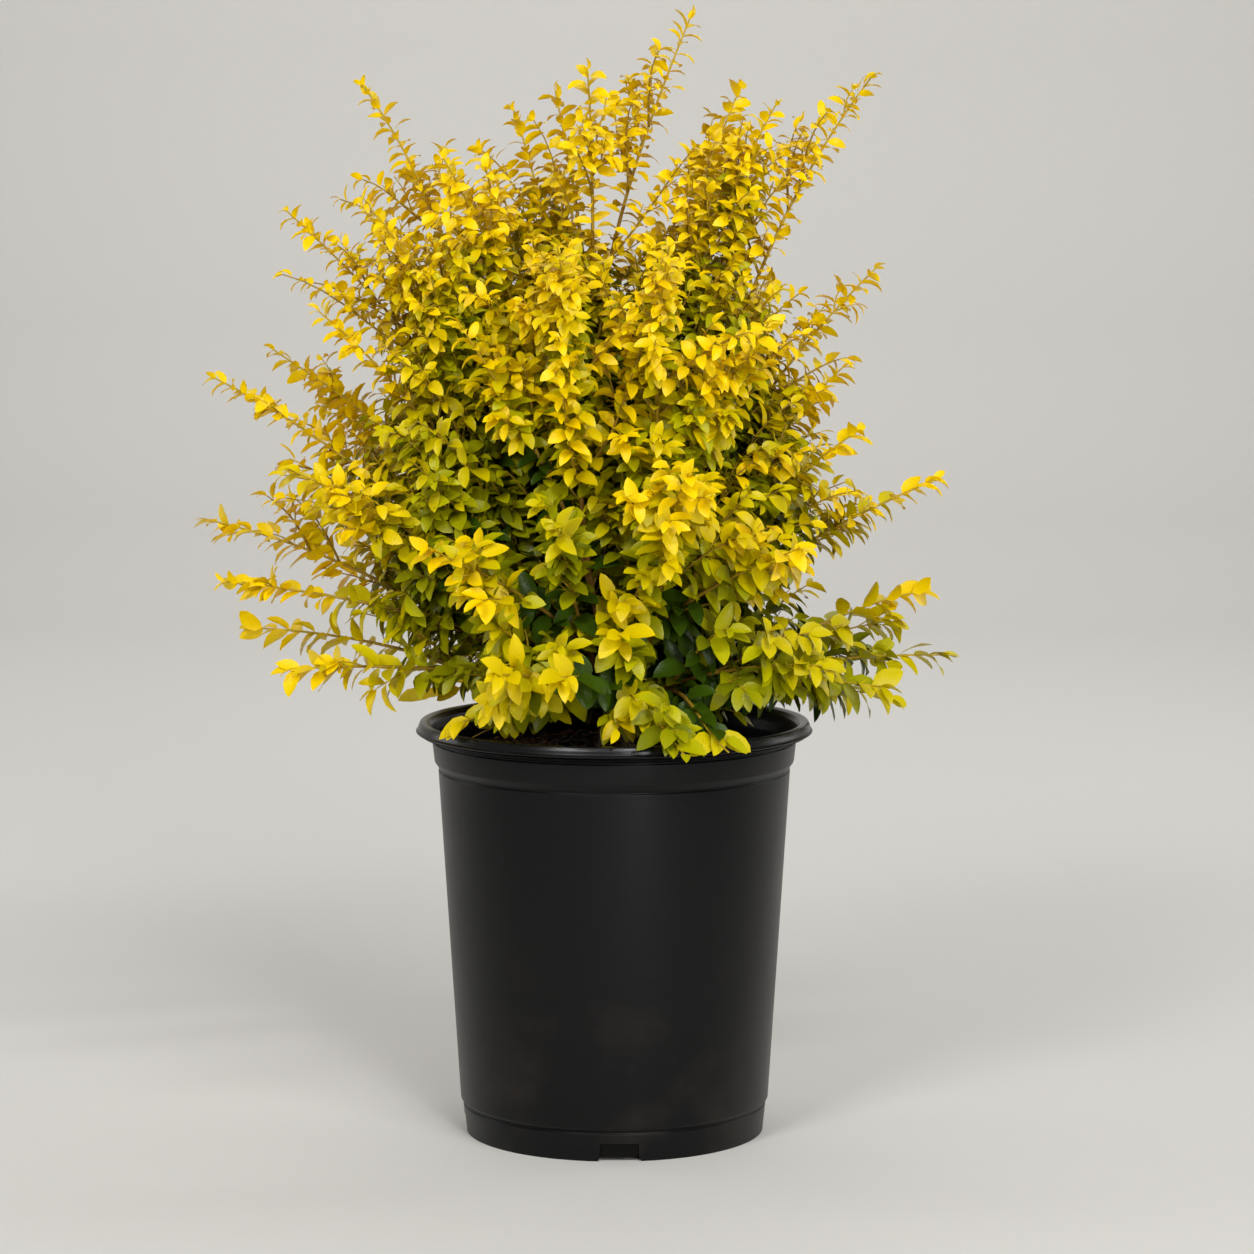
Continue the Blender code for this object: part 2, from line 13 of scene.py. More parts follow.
import bpy
import numpy as np
from bpy.props import FloatProperty, FloatVectorProperty, IntProperty, PointerProperty
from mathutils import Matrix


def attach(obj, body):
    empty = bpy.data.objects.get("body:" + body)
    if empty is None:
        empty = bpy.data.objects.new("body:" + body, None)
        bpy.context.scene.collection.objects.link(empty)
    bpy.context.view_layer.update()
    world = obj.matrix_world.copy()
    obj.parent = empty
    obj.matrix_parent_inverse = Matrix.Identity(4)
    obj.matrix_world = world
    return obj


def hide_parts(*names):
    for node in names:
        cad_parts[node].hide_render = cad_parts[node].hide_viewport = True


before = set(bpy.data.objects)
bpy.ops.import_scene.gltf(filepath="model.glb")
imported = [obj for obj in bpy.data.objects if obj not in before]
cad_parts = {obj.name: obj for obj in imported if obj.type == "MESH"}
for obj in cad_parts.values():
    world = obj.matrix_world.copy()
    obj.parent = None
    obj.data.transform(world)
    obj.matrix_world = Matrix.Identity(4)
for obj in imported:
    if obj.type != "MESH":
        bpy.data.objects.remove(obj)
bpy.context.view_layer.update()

bl_info = {
    "name": "Golden Privet in a Nursery Pot",
    "version": (1, 0, 0),
    "blender": (4, 5, 0),
    "location": "3D View > Sidebar > Privet",
    "description": "Pot, potting mix, bark, twigs and leaves of a golden privet shrub",
    "category": "Object",
}

MM = 0.001
SEED = 18

# Pot, in millimetres from its axis and from the ground, as in its solid
RIM_RADIUS, RIM_TOP = 140.0, 293.5
COLLAR_RADIUS, COLLAR_TOP, COLLAR_FOOT = 127.0, 279.5, 265.2
WALL_TOP_RADIUS, WALL_TOP = 124.3, 259.6
WALL_FOOT_RADIUS, WALL_FOOT = 109.4, 23.8
FOOT_TOP_RADIUS, FOOT_TOP = 107.7, 20.4
FOOT_RADIUS = 105.8
WALL, FLOOR, CREASE = 1.8, 2.5, 1.0
DRAIN_SLOTS, DRAIN_TURN = 4, math.radians(2)
DRAIN_FOOT_WIDTH, DRAIN_TOP_WIDTH = 30.0, 27.0
DRAIN_HEIGHT, DRAIN_DEPTH, DRAIN_ROUNDING = 12.8, 14.0, 1.2

# Potting mix and trunk, in millimetres
SOIL_TOP, SOIL_RISE, GAP = 268.0, 3.0, 0.3
MIX_TOP = SOIL_TOP + SOIL_RISE + GAP
TRUNK_RINGS = ((0, 17.0), (3, 13.5), (9, 10.6), (20, 9.2), (55, 8.2), (90, 6.6), (112, 4.8))
TRUNK_LEAN, TRUNK_STRAIGHT = math.radians(4), 9.0

# Boughs, in millimetres and in shares of their whole way to the tips
BOUGH_RADIUS, BOUGH_TIP_RADIUS = 3.2, 2.2
FORK_SHARE, FORK_STEP, HEADING_STEP = 0.3, 0.04, 0.02
LOWEST_BOUGH, HIGHEST_BOUGH, BOUGH_STEP = 12.0, 104.0, 1.5
BOUGH_CLEARANCE, BOUGH_OUT = 1.4, 8.2  # between boughs, and how far out it begins to count
CLEARANCE_POINTS = 30  # on each bough
BOUGH_TURNS = (0, 18, -18, 36, -36)
LEADER, LEADER_SHARE = "foliage_top", 0.3
STUNTED = 0.72  # the part that has grown of a shoot whose end would close an opening
HEEL_SHARE, HEEL_SHORTEST = 0.16, 34.0
ARCH_SHARE, ARCH_OVER = 0.38, math.radians(14)

# The tips of each mass's shoots, in millimetres: across, deep, high
SIDE_MASSES = {
    "foliage_left_crest": ((-179, 60, 740), (-227, -20, 652), (-164, -95, 655)),
    "foliage_left_shoulder": ((-245, 75, 551), (-206, 30, 611), (-201, -80, 585)),
    "foliage_left_middle": ((-278, -20, 536), (-220, -90, 477)),
    "foliage_left_low": ((-292, 50, 431), (-268, -45, 396)),
    "foliage_left_foot": ((-259, 40, 354), (-224, -60, 337)),
    "foliage_top_left": ((-72, 70, 722), (-93, 20, 693), (-115, -85, 688)),
    "foliage_top": ((53, 10, 785), (-18, -65, 749), (-42, 70, 735)),
    "foliage_top_right": ((90, 70, 738), (111, -50, 725)),
    "foliage_right_crest": ((178, -20, 744), (151, 65, 672)),
    "foliage_right_shoulder": ((184, 20, 611), (124, -80, 642)),
    "foliage_right_middle": ((168, -50, 501), (163, 60, 539)),
    "foliage_right_low": ((224, -20, 465), (159, 75, 464)),
    "foliage_right_foot": ((227, -20, 342), (220, 45, 380), (184, -75, 327)),
}
# The masses that face the front and the back stand in rings: height, reach and compass angles
RINGS = {
    "foot": (320, 182, (-128, -88, -52, 52, 90, 128)),
    "waist": (455, 190, (-118, -62, 62, 118)),
    "chest": (605, 165, (-116, -64, 64, 116)),
}
RING_SPREAD, RING_LIFT = math.radians(13), 26.0
SHORT_SHARE, SHORT_LIFT = 0.7, 50.0

UPWARD = np.array((0.13, 0.21, 1.0))  # what turns round a shoot are counted from, seldom along a twig
UP = np.array((0.0, 0.0, 1.0))


# Curves


def unit(vectors):
    """Each vector over its own length."""
    return vectors / np.maximum(np.linalg.norm(vectors, axis=-1, keepdims=True), 1e-12)


def on_curve(corners, share):
    """Points of cubic Bezier curves: the four corners weighted by (1-t)^3, 3(1-t)^2 t, 3(1-t)t^2 and t^3."""
    t = np.asarray(share, float)[..., None]
    a, b, c, d = (corners[..., n, :] for n in range(4))
    return a * (1 - t) ** 3 + 3 * b * (1 - t) ** 2 * t + 3 * c * (1 - t) * t**2 + d * t**3


def heading_on(corners, share):
    """The curves' directions: the steps between corners weighted by (1-t)^2, 2(1-t)t and t^2."""
    t = np.asarray(share, float)[..., None]
    a, b, c, d = (corners[..., n, :] for n in range(4))
    return unit((b - a) * (1 - t) ** 2 + 2 * (c - b) * (1 - t) * t + (d - c) * t**2)


def lengths_of(corners):
    """The length of each curve, as 24 straight steps."""
    points = on_curve(corners[:, None], np.linspace(0, 1, 25)[None])
    return np.linalg.norm(np.diff(points, axis=1), axis=2).sum(1)


def arching_heading(foot, tip):
    """The direction at a shoot's tip: outwards, and lower than its own line by the arch's angle."""
    line = tip - foot
    out = unit(line * (1, 1, 0))
    rise = math.atan2(line[2], math.hypot(line[0], line[1])) - ARCH_OVER
    return out * math.cos(rise) + UP * math.sin(rise)


def bough_curve(foot, tip, turn):
    """A bough heels out of the trunk at 45 degrees, turned aside by an angle, and arches to its tip."""
    line = tip - foot
    along = math.atan2(line[1], line[0]) + turn
    out = np.array((math.cos(along), math.sin(along), 0))
    reach = np.linalg.norm(line)
    heel = max(reach * HEEL_SHARE, HEEL_SHORTEST * MM)
    over = arching_heading(foot, tip) * reach * ARCH_SHARE
    return np.array((foot, foot + unit(out + UP) * heel, tip - over, tip))


def leader_curve(foot, tip):
    """The bough that goes straight on from the trunk's tip."""
    lean = unit(trunk_axis(HIGHEST_BOUGH) - trunk_axis(LOWEST_BOUGH))
    pull = np.linalg.norm(tip - foot) * LEADER_SHARE
    return np.array((foot, foot + lean * pull, tip - arching_heading(foot, tip) * pull, tip))


def shoot_curve(fork, heading, tip, foot):
    """A shoot goes on from its fork in the fork's own direction and arches to its tip."""
    reach = np.linalg.norm(tip - fork)
    over = arching_heading(foot, tip) * reach * ARCH_SHARE
    return np.array((fork, fork + heading * reach / 3, tip - over, tip))


def trunk_axis(height):
    """The trunk's centre at a height above the mix: upright, then leaning left by the lean's tangent."""
    lean = max(0.0, height - TRUNK_STRAIGHT) * math.tan(TRUNK_LEAN)
    return np.array((-lean, 0.0, MIX_TOP + height)) * MM


# The rule of the solids


def masses():
    """Every mass of foliage by name, with the tips of its shoots."""
    found = {name: np.array(tips, float) * MM for name, tips in SIDE_MASSES.items()}
    for ring, (height, reach, angles) in RINGS.items():
        for number, degrees in enumerate(angles):
            tips = []
            for side in (-1, 1, 0) if ring == "foot" else (-1, 1):
                angle = math.radians(degrees) + side * RING_SPREAD
                lift = side * RING_LIFT * (-1) ** number if side else SHORT_LIFT
                out = reach * (1 if side else SHORT_SHARE)
                tips.append((math.cos(angle) * out, math.sin(angle) * out, height + lift))
            facing = "front" if degrees < 0 else "back"
            found[f"foliage_{facing}_{ring}_{number + 1}"] = np.array(tips) * MM
    return found


def lay_boughs(tips_of):
    """Each bough's curve, its foot on the trunk at the lowest height where its way is clear.

    The flattest boughs are laid first, so that they leave the trunk lowest.
    """
    centre = {name: tips.mean(0) for name, tips in tips_of.items()}

    def steepness(name):
        line = centre[name] - trunk_axis(0)
        return round(math.degrees(math.atan2(line[2], math.hypot(line[0], line[1]))), 2)

    shares = np.linspace(0, FORK_SHARE, CLEARANCE_POINTS)
    laid = {LEADER: leader_curve(trunk_axis(TRUNK_RINGS[-1][0]), centre[LEADER])}
    taken = on_curve(laid[LEADER], shares)
    least = (2 * BOUGH_RADIUS + BOUGH_CLEARANCE) * MM
    tries = int((HIGHEST_BOUGH - LOWEST_BOUGH) / BOUGH_STEP) * len(BOUGH_TURNS)
    for name in sorted((name for name in centre if name != LEADER), key=steepness):
        for step in range(tries):
            height, turn = divmod(step, len(BOUGH_TURNS))
            foot = trunk_axis(LOWEST_BOUGH + height * BOUGH_STEP)
            corners = bough_curve(foot, centre[name], math.radians(BOUGH_TURNS[turn]))
            points = on_curve(corners, shares)
            points = points[np.hypot(*(points - foot).T[:2]) > BOUGH_OUT * MM]
            if np.linalg.norm(points[:, None] - taken[None], axis=2).min() > least:
                break
        else:
            raise ValueError(f"no clear way for the bough of {name}")
        laid[name] = corners
        taken = np.concatenate([taken, points])
    return laid


@functools.cache
def limbs():
    """The corners of every bough, cut at its fork, and of every shoot, by mass."""
    tips_of = masses()
    boughs, shoots = {}, {}
    for name, corners in lay_boughs(tips_of).items():
        fork = on_curve(corners, FORK_SHARE)
        heading = unit(fork - on_curve(corners, FORK_SHARE - HEADING_STEP))
        boughs[name] = first_part(corners, FORK_SHARE)
        first, *others = tips_of[name]
        curves = [shoot_curve(fork, heading, first, corners[0])]
        for number, tip in enumerate(others, 1):
            start = on_curve(curves[0], number * FORK_STEP)
            curves.append(shoot_curve(start, heading, tip, corners[0]))
        ends = np.array(curves)[:, 3]
        closing = in_openings(ends)
        curves = [first_part(curve, STUNTED) if shut else curve for curve, shut in zip(curves, closing)]
        shoots[name] = np.array(curves)
    return boughs, shoots


def first_part(corners, share):
    """The corners of a Bezier curve's own first part: its corners drawn together by halving in steps."""
    a, b, c, d = corners
    ab, bc, cd = a + (b - a) * share, b + (c - b) * share, c + (d - c) * share
    abc, bcd = ab + (bc - ab) * share, bc + (cd - bc) * share
    return np.array((a, ab, abc, abc + (bcd - abc) * share))


# Growth


class Habit(NamedTuple):
    """How one kind of shoot sprouts along its parent."""

    spacing: float  # millimetres between the places where one can sprout
    first: float  # the stretch of the parent that bears them, in shares of its way
    last: float
    wander: float  # radians that its turn round the parent strays to either side
    short: float  # the least and the most of its reach that it grows
    long: float
    angle: float  # degrees from the parent
    lift: float  # how far its aim is drawn up
    over: float  # how far its tip is drawn down


class Leafing(NamedTuple):
    """How leaves stand along one kind of shoot."""

    spacing: float  # of a leaf's length, between pairs
    first: float  # the stretch that bears them, in shares of the shoot's way
    last: float
    shorter: float  # of their length, that leaves lose towards the tip
    chance: float  # that a leaf is there, at the foot
    rise: float  # of that chance, to the tip
    sprays: int  # that the shoot's leaves are dealt to


SIDE = Habit(12.0, 0.02, 0.97, 0.45, short=0.5, long=1.1, angle=50, lift=0.12, over=0.24)
BASAL = Habit(12.0, 0.3, 1.0, 0.4, short=0.35, long=0.85, angle=62, lift=0.0, over=0.3)
TWIG = Habit(10.5, 0.1, 0.8, 0.5, short=0.5, long=1.1, angle=48, lift=0.15, over=0.1)
ON_MAIN = Leafing(0.38, 0.1, 0.985, shorter=0.0, chance=0.3, rise=1.0, sprays=6)
ON_SIDE = Leafing(0.5, 0.1, 0.975, shorter=0.2, chance=0.93, rise=0.0, sprays=3)
ON_TWIG = Leafing(0.5, 0.15, 0.96, shorter=0.2, chance=0.96, rise=0.0, sprays=1)

# Shoots: lengths in millimetres, and pulls as shares of a unit vector
SIDE_CHANCE, LOW_SIDE_CHANCE, TWIG_CHANCE = 0.66, 0.32, 0.6
LOW_TIP, TIP_SPAN = 0.33, 0.2  # metres: where a parent's tip is low, and how much higher it is high
BARE_TIP = (14.0, 48.0)  # of a main shoot's end, which bears leaves alone
SHORTEST_SIDE, SIDE_SLOPE, SHORTEST_TWIG = 14.0, 0.85, 9.0
FULL_PARENT, LEAST_TWIG = 1.8, 0.4  # a parent of 1/1.8 of the longest bears twigs of full length
GOLDEN_ANGLE = 2.4  # radians
OWN_WAY, PARENT_WAY, SHOOT_ARM = 0.66, 0.34, 0.36
OUTWARD, TIP_OUTWARD = 0.12, 0.25
AIM_SCATTER, WAY_SCATTER = 0.12, 0.1

# Leaves: their lengths in millimetres, and where they are that long
LEAST_LEAF, LOW_LEAF = 15.5, 25.5
LEAF_FALL, OUTER_LOSS = 0.034, 0.16  # lost for each millimetre up, and the share that the outermost lose
INNER_REACH, OUTER_REACH = 160.0, 270.0
LENGTH_SCATTER, LENGTH_LIMITS = 0.12, (0.7, 1.35)
TIP_SHARE, TIP_LEAN, TIP_LENGTH = 0.995, (16, 34), (0.55, 0.85)  # the last pair: place, degrees, length
MID_CROWN, HALF_CROWN = 0.47, 0.3  # metres above the ground
OPENING_SHARES = (0.3, 0.55, 0.8, 1)  # of a curve's way, where it may not cross an opening
CLEAR_SHARES = np.linspace(0.1, 1, 8)  # of a curve's way, where it keeps off the pot
POT_CLEARANCE = 1.5  # millimetres that leaves and twigs keep to the pot
RIM_INSIDE = 9.0  # millimetres that the rim's zone reaches in from the collar
LOWEST_LEAF = 288.0  # millimetres above the ground, just under the rim's crest

# How leaves are held: angles, and pulls as shares of a unit vector
LEAF_ANGLE, ANGLE_SCATTER, TIP_CLOSING = math.radians(58), 0.14, 0.4
LEAF_WANDER, START_TURN, STARTS = 0.45, 0.9, 7  # radians, for each pair and from shoot to shoot of seven
SPACED_BY = 0.6  # the share of a shoot's way whose leaf length sets the spacing of its pairs
CROWN_FLATNESS = 2.0  # its width over its depth, squared: where the crown's surface faces
LOW_START, LOW_MOST = 0.6, 1.4  # the level under which leaves hang, and the most that this counts
LEAN_OUT, HANG, SWING_UP, RIM_HANG = 0.15, 0.34, 0.8, 0.7
ROLL, FREE_ROLL = 0.3, 0.22  # everywhere, and more high up and far out
LESS_UP, FACE_OUT, MORE_OUT = 0.2, 0.5, 0.3
CURL, HIGH_CURL, FOLD = (18, 58), 34, (6, 28)  # degrees
CURL_START = 0.3  # how far under the crown's middle, as a level, leaves begin to curl more
WIDTH, WIDTH_SCATTER, HIGH_NARROWING, WIDTH_LIMITS = 0.52, 0.045, 0.06, (0.36, 0.64)  # of the length
RIPPLE, RIPPLE_TURN = 0.1, 7  # of the half width, and radians along the leaf

# Light and tints: gains and losses as shares of full light
CELL, LEAF_SHADE = 0.014, 0.09  # metres, and the shade that one leaf in a cell casts
LIGHT_WAYS = ((2, False, 0.42), (0, True, 0.14), (0, False, 0.14), (1, True, 0.15), (1, False, 0.15))
LOW_LOSS, LOW_LEVEL, HIGH_GAIN, OUTER_GAIN, LEAST_LIT = 0.24, 0.3, 0.1, 0.2, 0.4
CORNER_LOSS, CORNER_SPAN, CORNER_TOP, CORNER_FADE = 0.24, 0.09, 0.42, 0.08  # low on the right, metres
TINT_SCATTER, TINT_STEPS = 0.07, (0.14, 0.28, 0.41, 0.53, 0.66, 0.82)
TINTS = len(TINT_STEPS) + 1
MOST_LEAVES = 9000  # in one piece, which keeps it under 200,000 triangles

# The photograph's camera, in pixels of its square frame, metres, degrees below level and millimetres
PHOTO_SIDE, PHOTO_FOCAL = 1254, 4298.0
CAMERA_PLACE, CAMERA_DOWN = (0.009, -3.010, 0.706), 6.57
SENSOR = 36.0

# Where the crown is open, in millimetres: across, high and radius, as the front camera sees them on the
# plane through the pot's axis. The sky shows between shoots, and hollows in front show the dark inside.
SKY_GAPS = (
    (37, 708, 20), (27, 684, 14), (0, 663, 19), (-17, 650, 14), (-38, 707, 13), (40, 748, 13),
    (136, 627, 16), (159, 704, 18), (150, 682, 12), (134, 656, 16), (169, 392, 24), (150, 377, 14),
    (-219, 371, 22), (-195, 362, 16), (-172, 352, 16), (-180, 540, 16), (-222, 527, 10),
    (-251, 478, 15), (-226, 407, 13), (-103, 684, 12), (-60, 686, 14), (-134, 697, 14),
    (-157, 686, 10), (157, 481, 15), (179, 426, 13), (-204, 612, 12), (154, 568, 14), (-190, 312, 20),
    (-162, 302, 12), (-154, 282, 14),
)
HOLLOWS = (
    (38, 347, 25), (58, 321, 20), (-10, 329, 19), (60, 298, 14), (40, 372, 16), (-66, 434, 19),
    (-58, 472, 15), (-8, 404, 21), (-44, 369, 19), (45, 560, 12), (95, 500, 14),
)
HOLLOW_DEPTH = -45.0  # millimetres, the plane that the hollows reach back to


def outer(points):
    """How far out points lie, from 0 over the pot to 1 at the tips of the longest low shoots."""
    across = np.hypot(points[..., 0], points[..., 1]) / MM
    return ((across - INNER_REACH) / (OUTER_REACH - INNER_REACH)).clip(0, 1)


def level(points):
    """How high points lie: 0 in the middle of the crown and 1 at its top."""
    return (points[:, 2] - MID_CROWN) / HALF_CROWN


def leaf_length(points):
    """How long leaves grow at points, in metres: longest just over the rim, shorter higher and out."""
    high = points[..., 2] / MM - RIM_TOP
    length = (LOW_LEAF - LEAF_FALL * high).clip(LEAST_LEAF, LOW_LEAF)
    return length * (1 - OUTER_LOSS * outer(points)) * MM


def joined(tables):
    """Tables of the same columns, one after the other."""
    return [np.concatenate(column) for column in zip(*tables)]


def nodes_along(corners, spacing, first, last):
    """Nodes evenly spread along curves: each one's curve, its number on it and its share of the way.

    The spacing is in millimetres, one for all the curves or one for each.
    """
    reach = lengths_of(corners) * (last - first)
    count = np.maximum(1, np.round(reach / (spacing * MM))).astype(int)
    curve = np.repeat(np.arange(len(corners)), count)
    number = np.arange(len(curve)) - np.repeat(np.cumsum(count) - count, count)
    return curve, number, first + (last - first) * (number + 0.5) / count[curve]


def aside(heading, turn, angle):
    """Directions at an angle to a heading: heading cos(angle) + out sin(angle), out being turned round it."""
    side = unit(np.cross(UPWARD, heading))
    out = side * np.cos(turn)[:, None] + np.cross(heading, side) * np.sin(turn)[:, None]
    return heading * np.cos(angle)[:, None] + out * np.sin(angle)[:, None]


def sprouts(dice, corners, habit, curve, share, turn, reach):
    """Side shoots: each leaves its parent along its own aim, turns half back to the parent's heading and
    arches over at its tip.
    """
    point = on_curve(corners[curve], share)
    heading = heading_on(corners[curve], share)
    aim = aside(heading, turn, math.radians(habit.angle) + dice.normal(0, AIM_SCATTER, len(turn)))
    away = unit(point * (1, 1, 0))
    aim = unit(aim + UP * habit.lift + away * OUTWARD)
    way = unit(aim * OWN_WAY + heading * PARENT_WAY + dice.normal(0, WAY_SCATTER, aim.shape))
    reach = reach[:, None]
    tip = point + way * reach
    last = unit(way + away * TIP_OUTWARD - UP * habit.over)
    return np.stack([point, point + aim * reach * SHOOT_ARM, tip - last * reach * SHOOT_ARM, tip], 1)


def side_shoots(dice, main, side_reach):
    """Side shoots in crosswise pairs, of which some sprout, and fewest on low shoots. They are as long as
    the parent has left to go past its bare tip, up to the reach, so that a shoot ends in leaves alone.
    """
    nodes = nodes_along(main, SIDE.spacing, SIDE.first, SIDE.last)
    curve, number, share = (np.tile(column, 2) for column in nodes)
    half = np.repeat((0, math.pi), len(curve) // 2)
    turn = number * math.pi / 2 + half + dice.uniform(-SIDE.wander, SIDE.wander, len(curve))
    left = lengths_of(main)[curve] * (1 - share)
    bare = (dice.uniform(*BARE_TIP, len(main)) * MM)[curve]
    reach = np.minimum(side_reach, SHORTEST_SIDE * MM + (left - bare) * SIDE_SLOPE)
    reach = reach * dice.uniform(SIDE.short, SIDE.long, len(curve))
    high = np.clip((main[curve, 3, 2] - LOW_TIP) / TIP_SPAN, 0, 1)
    chance = LOW_SIDE_CHANCE + (SIDE_CHANCE - LOW_SIDE_CHANCE) * high
    chosen = (dice.random(len(curve)) < chance) & (left > bare)
    return sprouts(dice, main, SIDE, curve[chosen], share[chosen], turn[chosen], reach[chosen])


def basal_shoots(dice, bough, side_reach):
    """Shorter shoots on the boughs themselves, a golden angle apart, which fill the crown's inside."""
    curve, number, share = nodes_along(bough, BASAL.spacing, BASAL.first, BASAL.last)
    turn = number * GOLDEN_ANGLE + dice.uniform(-BASAL.wander, BASAL.wander, len(curve))
    reach = side_reach * dice.uniform(BASAL.short, BASAL.long, len(curve))
    return sprouts(dice, bough, BASAL, curve, share, turn, reach)


def twigs_on(dice, side, side_reach, twig_reach):
    """Twigs on side shoots, shorter towards the tip and on a short parent."""
    curve, number, share = nodes_along(side, TWIG.spacing, TWIG.first, TWIG.last)
    turn = number * math.pi / 2 + dice.uniform(-TWIG.wander, TWIG.wander, len(curve))
    turn = turn + math.pi * (number // 2 % 2)
    reach = twig_reach * (1 - share) ** 0.5 * dice.uniform(TWIG.short, TWIG.long, len(curve))
    reach *= np.clip(lengths_of(side)[curve] / side_reach * FULL_PARENT, LEAST_TWIG, 1)
    chosen = (dice.random(len(curve)) < TWIG_CHANCE) & (reach > SHORTEST_TWIG * MM)
    return sprouts(dice, side, TWIG, curve[chosen], share[chosen], turn[chosen], reach[chosen])


def off_the_pot(points):
    """Whether all the points of each row keep out of the potting mix and off the pot's wall and rim."""
    across = np.hypot(points[..., 0], points[..., 1]) / MM
    high = points[..., 2] / MM
    in_mix = (across < COLLAR_RADIUS) & (high < SOIL_TOP + SOIL_RISE + POT_CLEARANCE)
    in_rim = (
        (across > COLLAR_RADIUS - RIM_INSIDE)
        & (across < RIM_RADIUS + POT_CLEARANCE)
        & (high < RIM_TOP + POT_CLEARANCE)
    )
    return ~(in_mix | in_rim).any(-1)


def clear_curves(curves):
    """Which curves keep off the pot, past their first tenth."""
    return off_the_pot(on_curve(curves[:, None], CLEAR_SHARES[None]))


def in_places(points, places):
    """Whether points lie in round places that the camera sees on the plane through the pot's axis."""
    eye = np.array(CAMERA_PLACE)
    ray = points - eye
    seen = (eye - ray * eye[1] / ray[:, 1:2])[:, ::2] / MM
    across, high, radius = np.array(places, float).T
    return (np.hypot(seen[:, :1] - across, seen[:, 1:] - high) < radius).any(1)


def in_hollows(points):
    """Whether points lie in the hollows in front."""
    return in_places(points, HOLLOWS) & (points[:, 1] < HOLLOW_DEPTH * MM)


def in_openings(points):
    """Whether points lie where the crown is open."""
    return in_places(points, SKY_GAPS) | in_hollows(points)


def leaves_open(curves):
    """Which curves leave the openings open."""
    closing = [in_openings(on_curve(curves, share)) for share in OPENING_SHARES]
    return ~np.any(closing, axis=0)


def leaf_pairs(dice, corners, leafing):
    """Leaves in pairs along curves, each pair crosswise to the last: a table of one row a leaf.

    Its columns are the curve, the share of its way, the place, the heading and the length, which is what
    grows at that place. Leaves lean out by the leaf angle, and less at the very tip.
    """
    spacing = leaf_length(on_curve(corners, SPACED_BY)) * leafing.spacing / MM
    curve, number, share = nodes_along(corners, spacing, leafing.first, leafing.last)
    turn = number * math.pi / 2 + dice.uniform(-LEAF_WANDER, LEAF_WANDER, len(curve))
    turn = turn + (curve % STARTS) * START_TURN
    rows = []
    for half in (0, math.pi):
        stay = dice.random(len(curve)) < leafing.chance + leafing.rise * share
        c, s, t = curve[stay], share[stay], turn[stay] + half
        point, heading = on_curve(corners[c], s), heading_on(corners[c], s)
        lean = LEAF_ANGLE * (1 - TIP_CLOSING * s**5) + dice.normal(0, ANGLE_SCATTER, len(c))
        length = leaf_length(point) * (1 - leafing.shorter * s)
        length = length * dice.normal(1, LENGTH_SCATTER, len(c)).clip(*LENGTH_LIMITS)
        rows.append((c, s, point, aside(heading, t, lean), length))
    return joined(rows)


def tip_pairs(dice, corners):
    """The last, half-open pair of leaves at each curve's end, in a table like leaf_pairs'."""
    curve = np.repeat(np.arange(len(corners)), 2)
    share = np.full(len(curve), TIP_SHARE)
    point = on_curve(corners[curve], share)
    turn = np.repeat(dice.uniform(0, math.pi, len(corners)), 2) + np.tile((0, math.pi), len(corners))
    lean = np.radians(dice.uniform(*TIP_LEAN, len(curve)))
    length = leaf_length(point) * dice.uniform(*TIP_LENGTH, len(curve))
    return [curve, share, point, aside(heading_on(corners[curve], share), turn, lean), length]


def all_leaves(dice, main, side, twig):
    """Every leaf's spray, place, heading and length. A spray is a sixth of a main shoot, a third of a
    side shoot, or a twig. Side shoots and twigs bear no leaf in an opening.
    """
    tables, sprays = [], 0
    for corners, leafing in ((main, ON_MAIN), (side, ON_SIDE), (twig, ON_TWIG)):
        pairs = leaf_pairs(dice, corners, leafing)
        if corners is not twig:
            pairs = joined([pairs, tip_pairs(dice, corners)])
        if corners is not main:
            shown = ~in_openings(pairs[2])
            pairs = [column[shown] for column in pairs]
        curve, share, *rest = pairs
        part = (share * leafing.sprays).astype(int)
        tables.append((sprays + curve * leafing.sprays + part, *rest))
        sprays += len(corners) * leafing.sprays
    return joined(tables)


def held_leaves(dice, root, heading, length):
    """The points of all leaves, as they are held.

    A leaf turns its face up and out and arches. Low ones hang over a little in the middle of the crown,
    further out those under a shoot swing up beside it, and those at the rim lie over it.
    """
    high, far = level(root), outer(root)[:, None]
    low = np.clip(LOW_START - high, 0, LOW_MOST)[:, None]
    away = unit(root * (1, CROWN_FLATNESS, 0))
    heading = unit(heading + away * LEAN_OUT * low - UP * HANG * low * (1 - far))
    heading = unit(heading * np.where(heading[:, 2:] < 0, (1, 1, 1) - SWING_UP * far * UP, 1))
    drop = (root[:, 2] - LOWEST_LEAF * MM).clip(0) / length
    heading[:, 2] = np.maximum(heading[:, 2], -RIM_HANG * drop)
    heading = unit(heading)
    roll = dice.normal(0, 1, root.shape) * (ROLL + FREE_ROLL * np.maximum(high.clip(0, 1)[:, None], far))
    facing = UP * (1 - LESS_UP * low) + away * (FACE_OUT + MORE_OUT * low) + roll
    facing = np.cross(heading, unit(np.cross(facing, heading)))
    curl = np.radians(dice.uniform(*CURL, len(root)) + HIGH_CURL * np.clip(high + CURL_START, 0, 1))
    fold = np.radians(dice.uniform(*FOLD, len(root)))
    width = dice.normal(WIDTH, WIDTH_SCATTER, len(root)) - HIGH_NARROWING * high.clip(0, 1)
    wave = dice.uniform(0, math.tau, len(root))
    return leaf_blades(root, heading, facing, length, width.clip(*WIDTH_LIMITS), curl, fold, wave)


